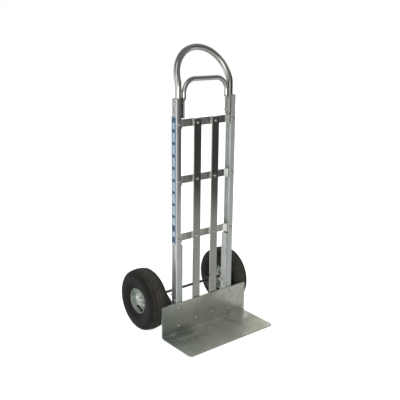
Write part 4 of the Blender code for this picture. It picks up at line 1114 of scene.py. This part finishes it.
def studio_world():
    """White behind the object; what the metal mirrors is a dim room with pale patches, by direction only."""
    world = bpy.data.worlds.new("studio_world")
    world.use_nodes = True
    SCENE.world = world
    nt = world.node_tree
    nt.nodes.clear()
    out = nt.nodes.new("ShaderNodeOutputWorld")
    coord = nt.nodes.new("ShaderNodeTexCoord").outputs["Generated"]

    def op(kind, a, b=0.0, clamp=False):
        n = nt.nodes.new("ShaderNodeMath")
        n.operation = kind
        n.use_clamp = clamp
        for socket, value in ((n.inputs[0], a), (n.inputs[1], b)):
            if hasattr(value, "is_output"):
                nt.links.new(value, socket)
            else:
                socket.default_value = value
        return n.outputs[0]

    def ease(value, a, b, c=0.0, d=1.0):
        n = nt.nodes.new("ShaderNodeMapRange")
        n.interpolation_type = "SMOOTHSTEP"
        nt.links.new(value, n.inputs["Value"])
        for key, v in zip(("From Min", "From Max", "To Min", "To Max"), (a, b, c, d)):
            n.inputs[key].default_value = v
        return n.outputs[0]

    def facing(azimuth):
        n = nt.nodes.new("ShaderNodeVectorMath")
        n.operation = "DOT_PRODUCT"
        nt.links.new(flat, n.inputs[0])
        n.inputs[1].default_value = (math.cos(math.radians(azimuth)), math.sin(math.radians(azimuth)), 0.0)
        return n.outputs["Value"]

    sep = nt.nodes.new("ShaderNodeSeparateXYZ")
    nt.links.new(coord, sep.inputs[0])
    z = sep.outputs[2]
    comb = nt.nodes.new("ShaderNodeCombineXYZ")
    nt.links.new(sep.outputs[0], comb.inputs[0])
    nt.links.new(sep.outputs[1], comb.inputs[1])
    norm = nt.nodes.new("ShaderNodeVectorMath")
    norm.operation = "NORMALIZE"
    nt.links.new(comb.outputs[0], norm.inputs[0])
    flat = norm.outputs[0]

    ground = ease(z, -0.252, -0.322, 0.0, GROUND)
    room = op("MAXIMUM", ease(z, -0.322, -0.252, 0.0, ROOM), 0.0)
    total = op("ADD", ground, room)
    for azimuth, inner, outer, z0, z1, z2, z3, power in PATCHES:
        lobe = ease(facing(azimuth), math.cos(math.radians(outer)), math.cos(math.radians(inner)))
        band = op("MULTIPLY", ease(z, z0, z1), ease(z, z3, z2))
        total = op("ADD", total, op("MULTIPLY", op("MULTIPLY", lobe, band), power))
    room_light = nt.nodes.new("ShaderNodeBackground")
    room_light.inputs["Color"].default_value = (1.0, 1.0, 0.985, 1.0)
    nt.links.new(total, room_light.inputs["Strength"])
    white = nt.nodes.new("ShaderNodeBackground")
    white.inputs["Color"].default_value = (1.0, 1.0, 1.0, 1.0)
    white.inputs["Strength"].default_value = 1.0
    path = nt.nodes.new("ShaderNodeLightPath")
    mix = nt.nodes.new("ShaderNodeMixShader")
    nt.links.new(path.outputs["Is Camera Ray"], mix.inputs[0])
    nt.links.new(room_light.outputs[0], mix.inputs[1])
    nt.links.new(white.outputs[0], mix.inputs[2])
    nt.links.new(mix.outputs[0], out.inputs["Surface"])


GROUND = 0.46
ROOM = 0.18
# azimuth from +X, inner and outer half angles, z of the direction where the patch starts, is full, is full, ends; strength
PATCHES = (
    (140.0, 36.0, 68.0, -0.75, -0.34, 0.25, 0.70, 0.46),  # pale wall, back left
    (-145.0, 36.0, 62.0, -0.50, -0.26, 0.16, 0.60, 0.50),  # bright side, in front of the object
    (-132.0, 15.0, 30.0, -0.34, -0.22, -0.02, 0.06, 1.30),  # the brightest part of it, low down
    (36.0, 18.0, 40.0, 0.05, 0.25, 0.60, 0.90, 0.56),  # soft light, back right
    (-34.0, 8.0, 13.0, -0.60, -0.42, 0.00, 0.12, 0.32),  # narrow pale patch, front right
    (-66.0, 24.0, 34.0, -0.285, -0.255, 0.10, 0.40, -0.12),  # dim patch, front right
    (-152.0, 12.0, 28.0, 0.36, 0.52, 0.88, 0.97, 0.85),  # small soft light, high in front of the object
)
studio_world()


def area(name, location, target, size, power, color=(1.0, 1.0, 1.0)):
    data = bpy.data.lights.new(name, "AREA")
    data.shape = "RECTANGLE"
    data.size, data.size_y = size
    data.energy = power
    data.color = color
    obj = bpy.data.objects.new(name, data)
    SCENE.collection.objects.link(obj)
    obj.location = location
    obj.rotation_euler = (Vector(target) - Vector(location)).to_track_quat("-Z", "Y").to_euler()
    return obj


TOP = area("soft_top", (0.2, -0.3, 3.2), (0.0, 0.0, 0.4), (3.0, 3.0), 34.0)
KEY = area("soft_front_left", (-2.6, -2.4, 2.6), (0.0, 0.0, 0.5), (1.8, 1.8), 26.0)
FILL = area("soft_right", (2.8, -1.4, 1.8), (0.0, 0.0, 0.4), (1.6, 1.6), 10.0)
for LIGHT in (TOP, KEY, FILL):
    LIGHT.visible_glossy = False


def camera():
    data = bpy.data.cameras.new("camera")
    data.sensor_fit = "HORIZONTAL"
    data.sensor_width = 36.0
    data.lens = 629.21 / 400.0 * 36.0
    data.clip_start = 0.05
    data.clip_end = 100.0
    obj = bpy.data.objects.new("camera", data)
    SCENE.collection.objects.link(obj)
    yaw, pitch, roll = 0.680578, 0.273002, 0.011130
    forward = Vector((math.sin(yaw) * math.cos(pitch), math.cos(yaw) * math.cos(pitch), -math.sin(pitch)))
    right = Vector((math.cos(yaw), -math.sin(yaw), 0.0))
    up = right.cross(forward)
    c, s = math.cos(roll), math.sin(roll)
    x_axis, y_axis = right * c + up * s, up * c - right * s
    turn = Matrix((x_axis, y_axis, -forward)).transposed().to_4x4()
    obj.matrix_world = Matrix.Translation(shift((-1.595637, -1.925874, 1.263954))) @ turn
    SCENE.camera = obj


camera()
SCENE.view_settings.view_transform = "Standard"
SCENE.view_settings.look = "None"
SCENE.view_settings.exposure = 0.0
SCENE.view_settings.gamma = 1.0

bpy.context.view_layer.update()
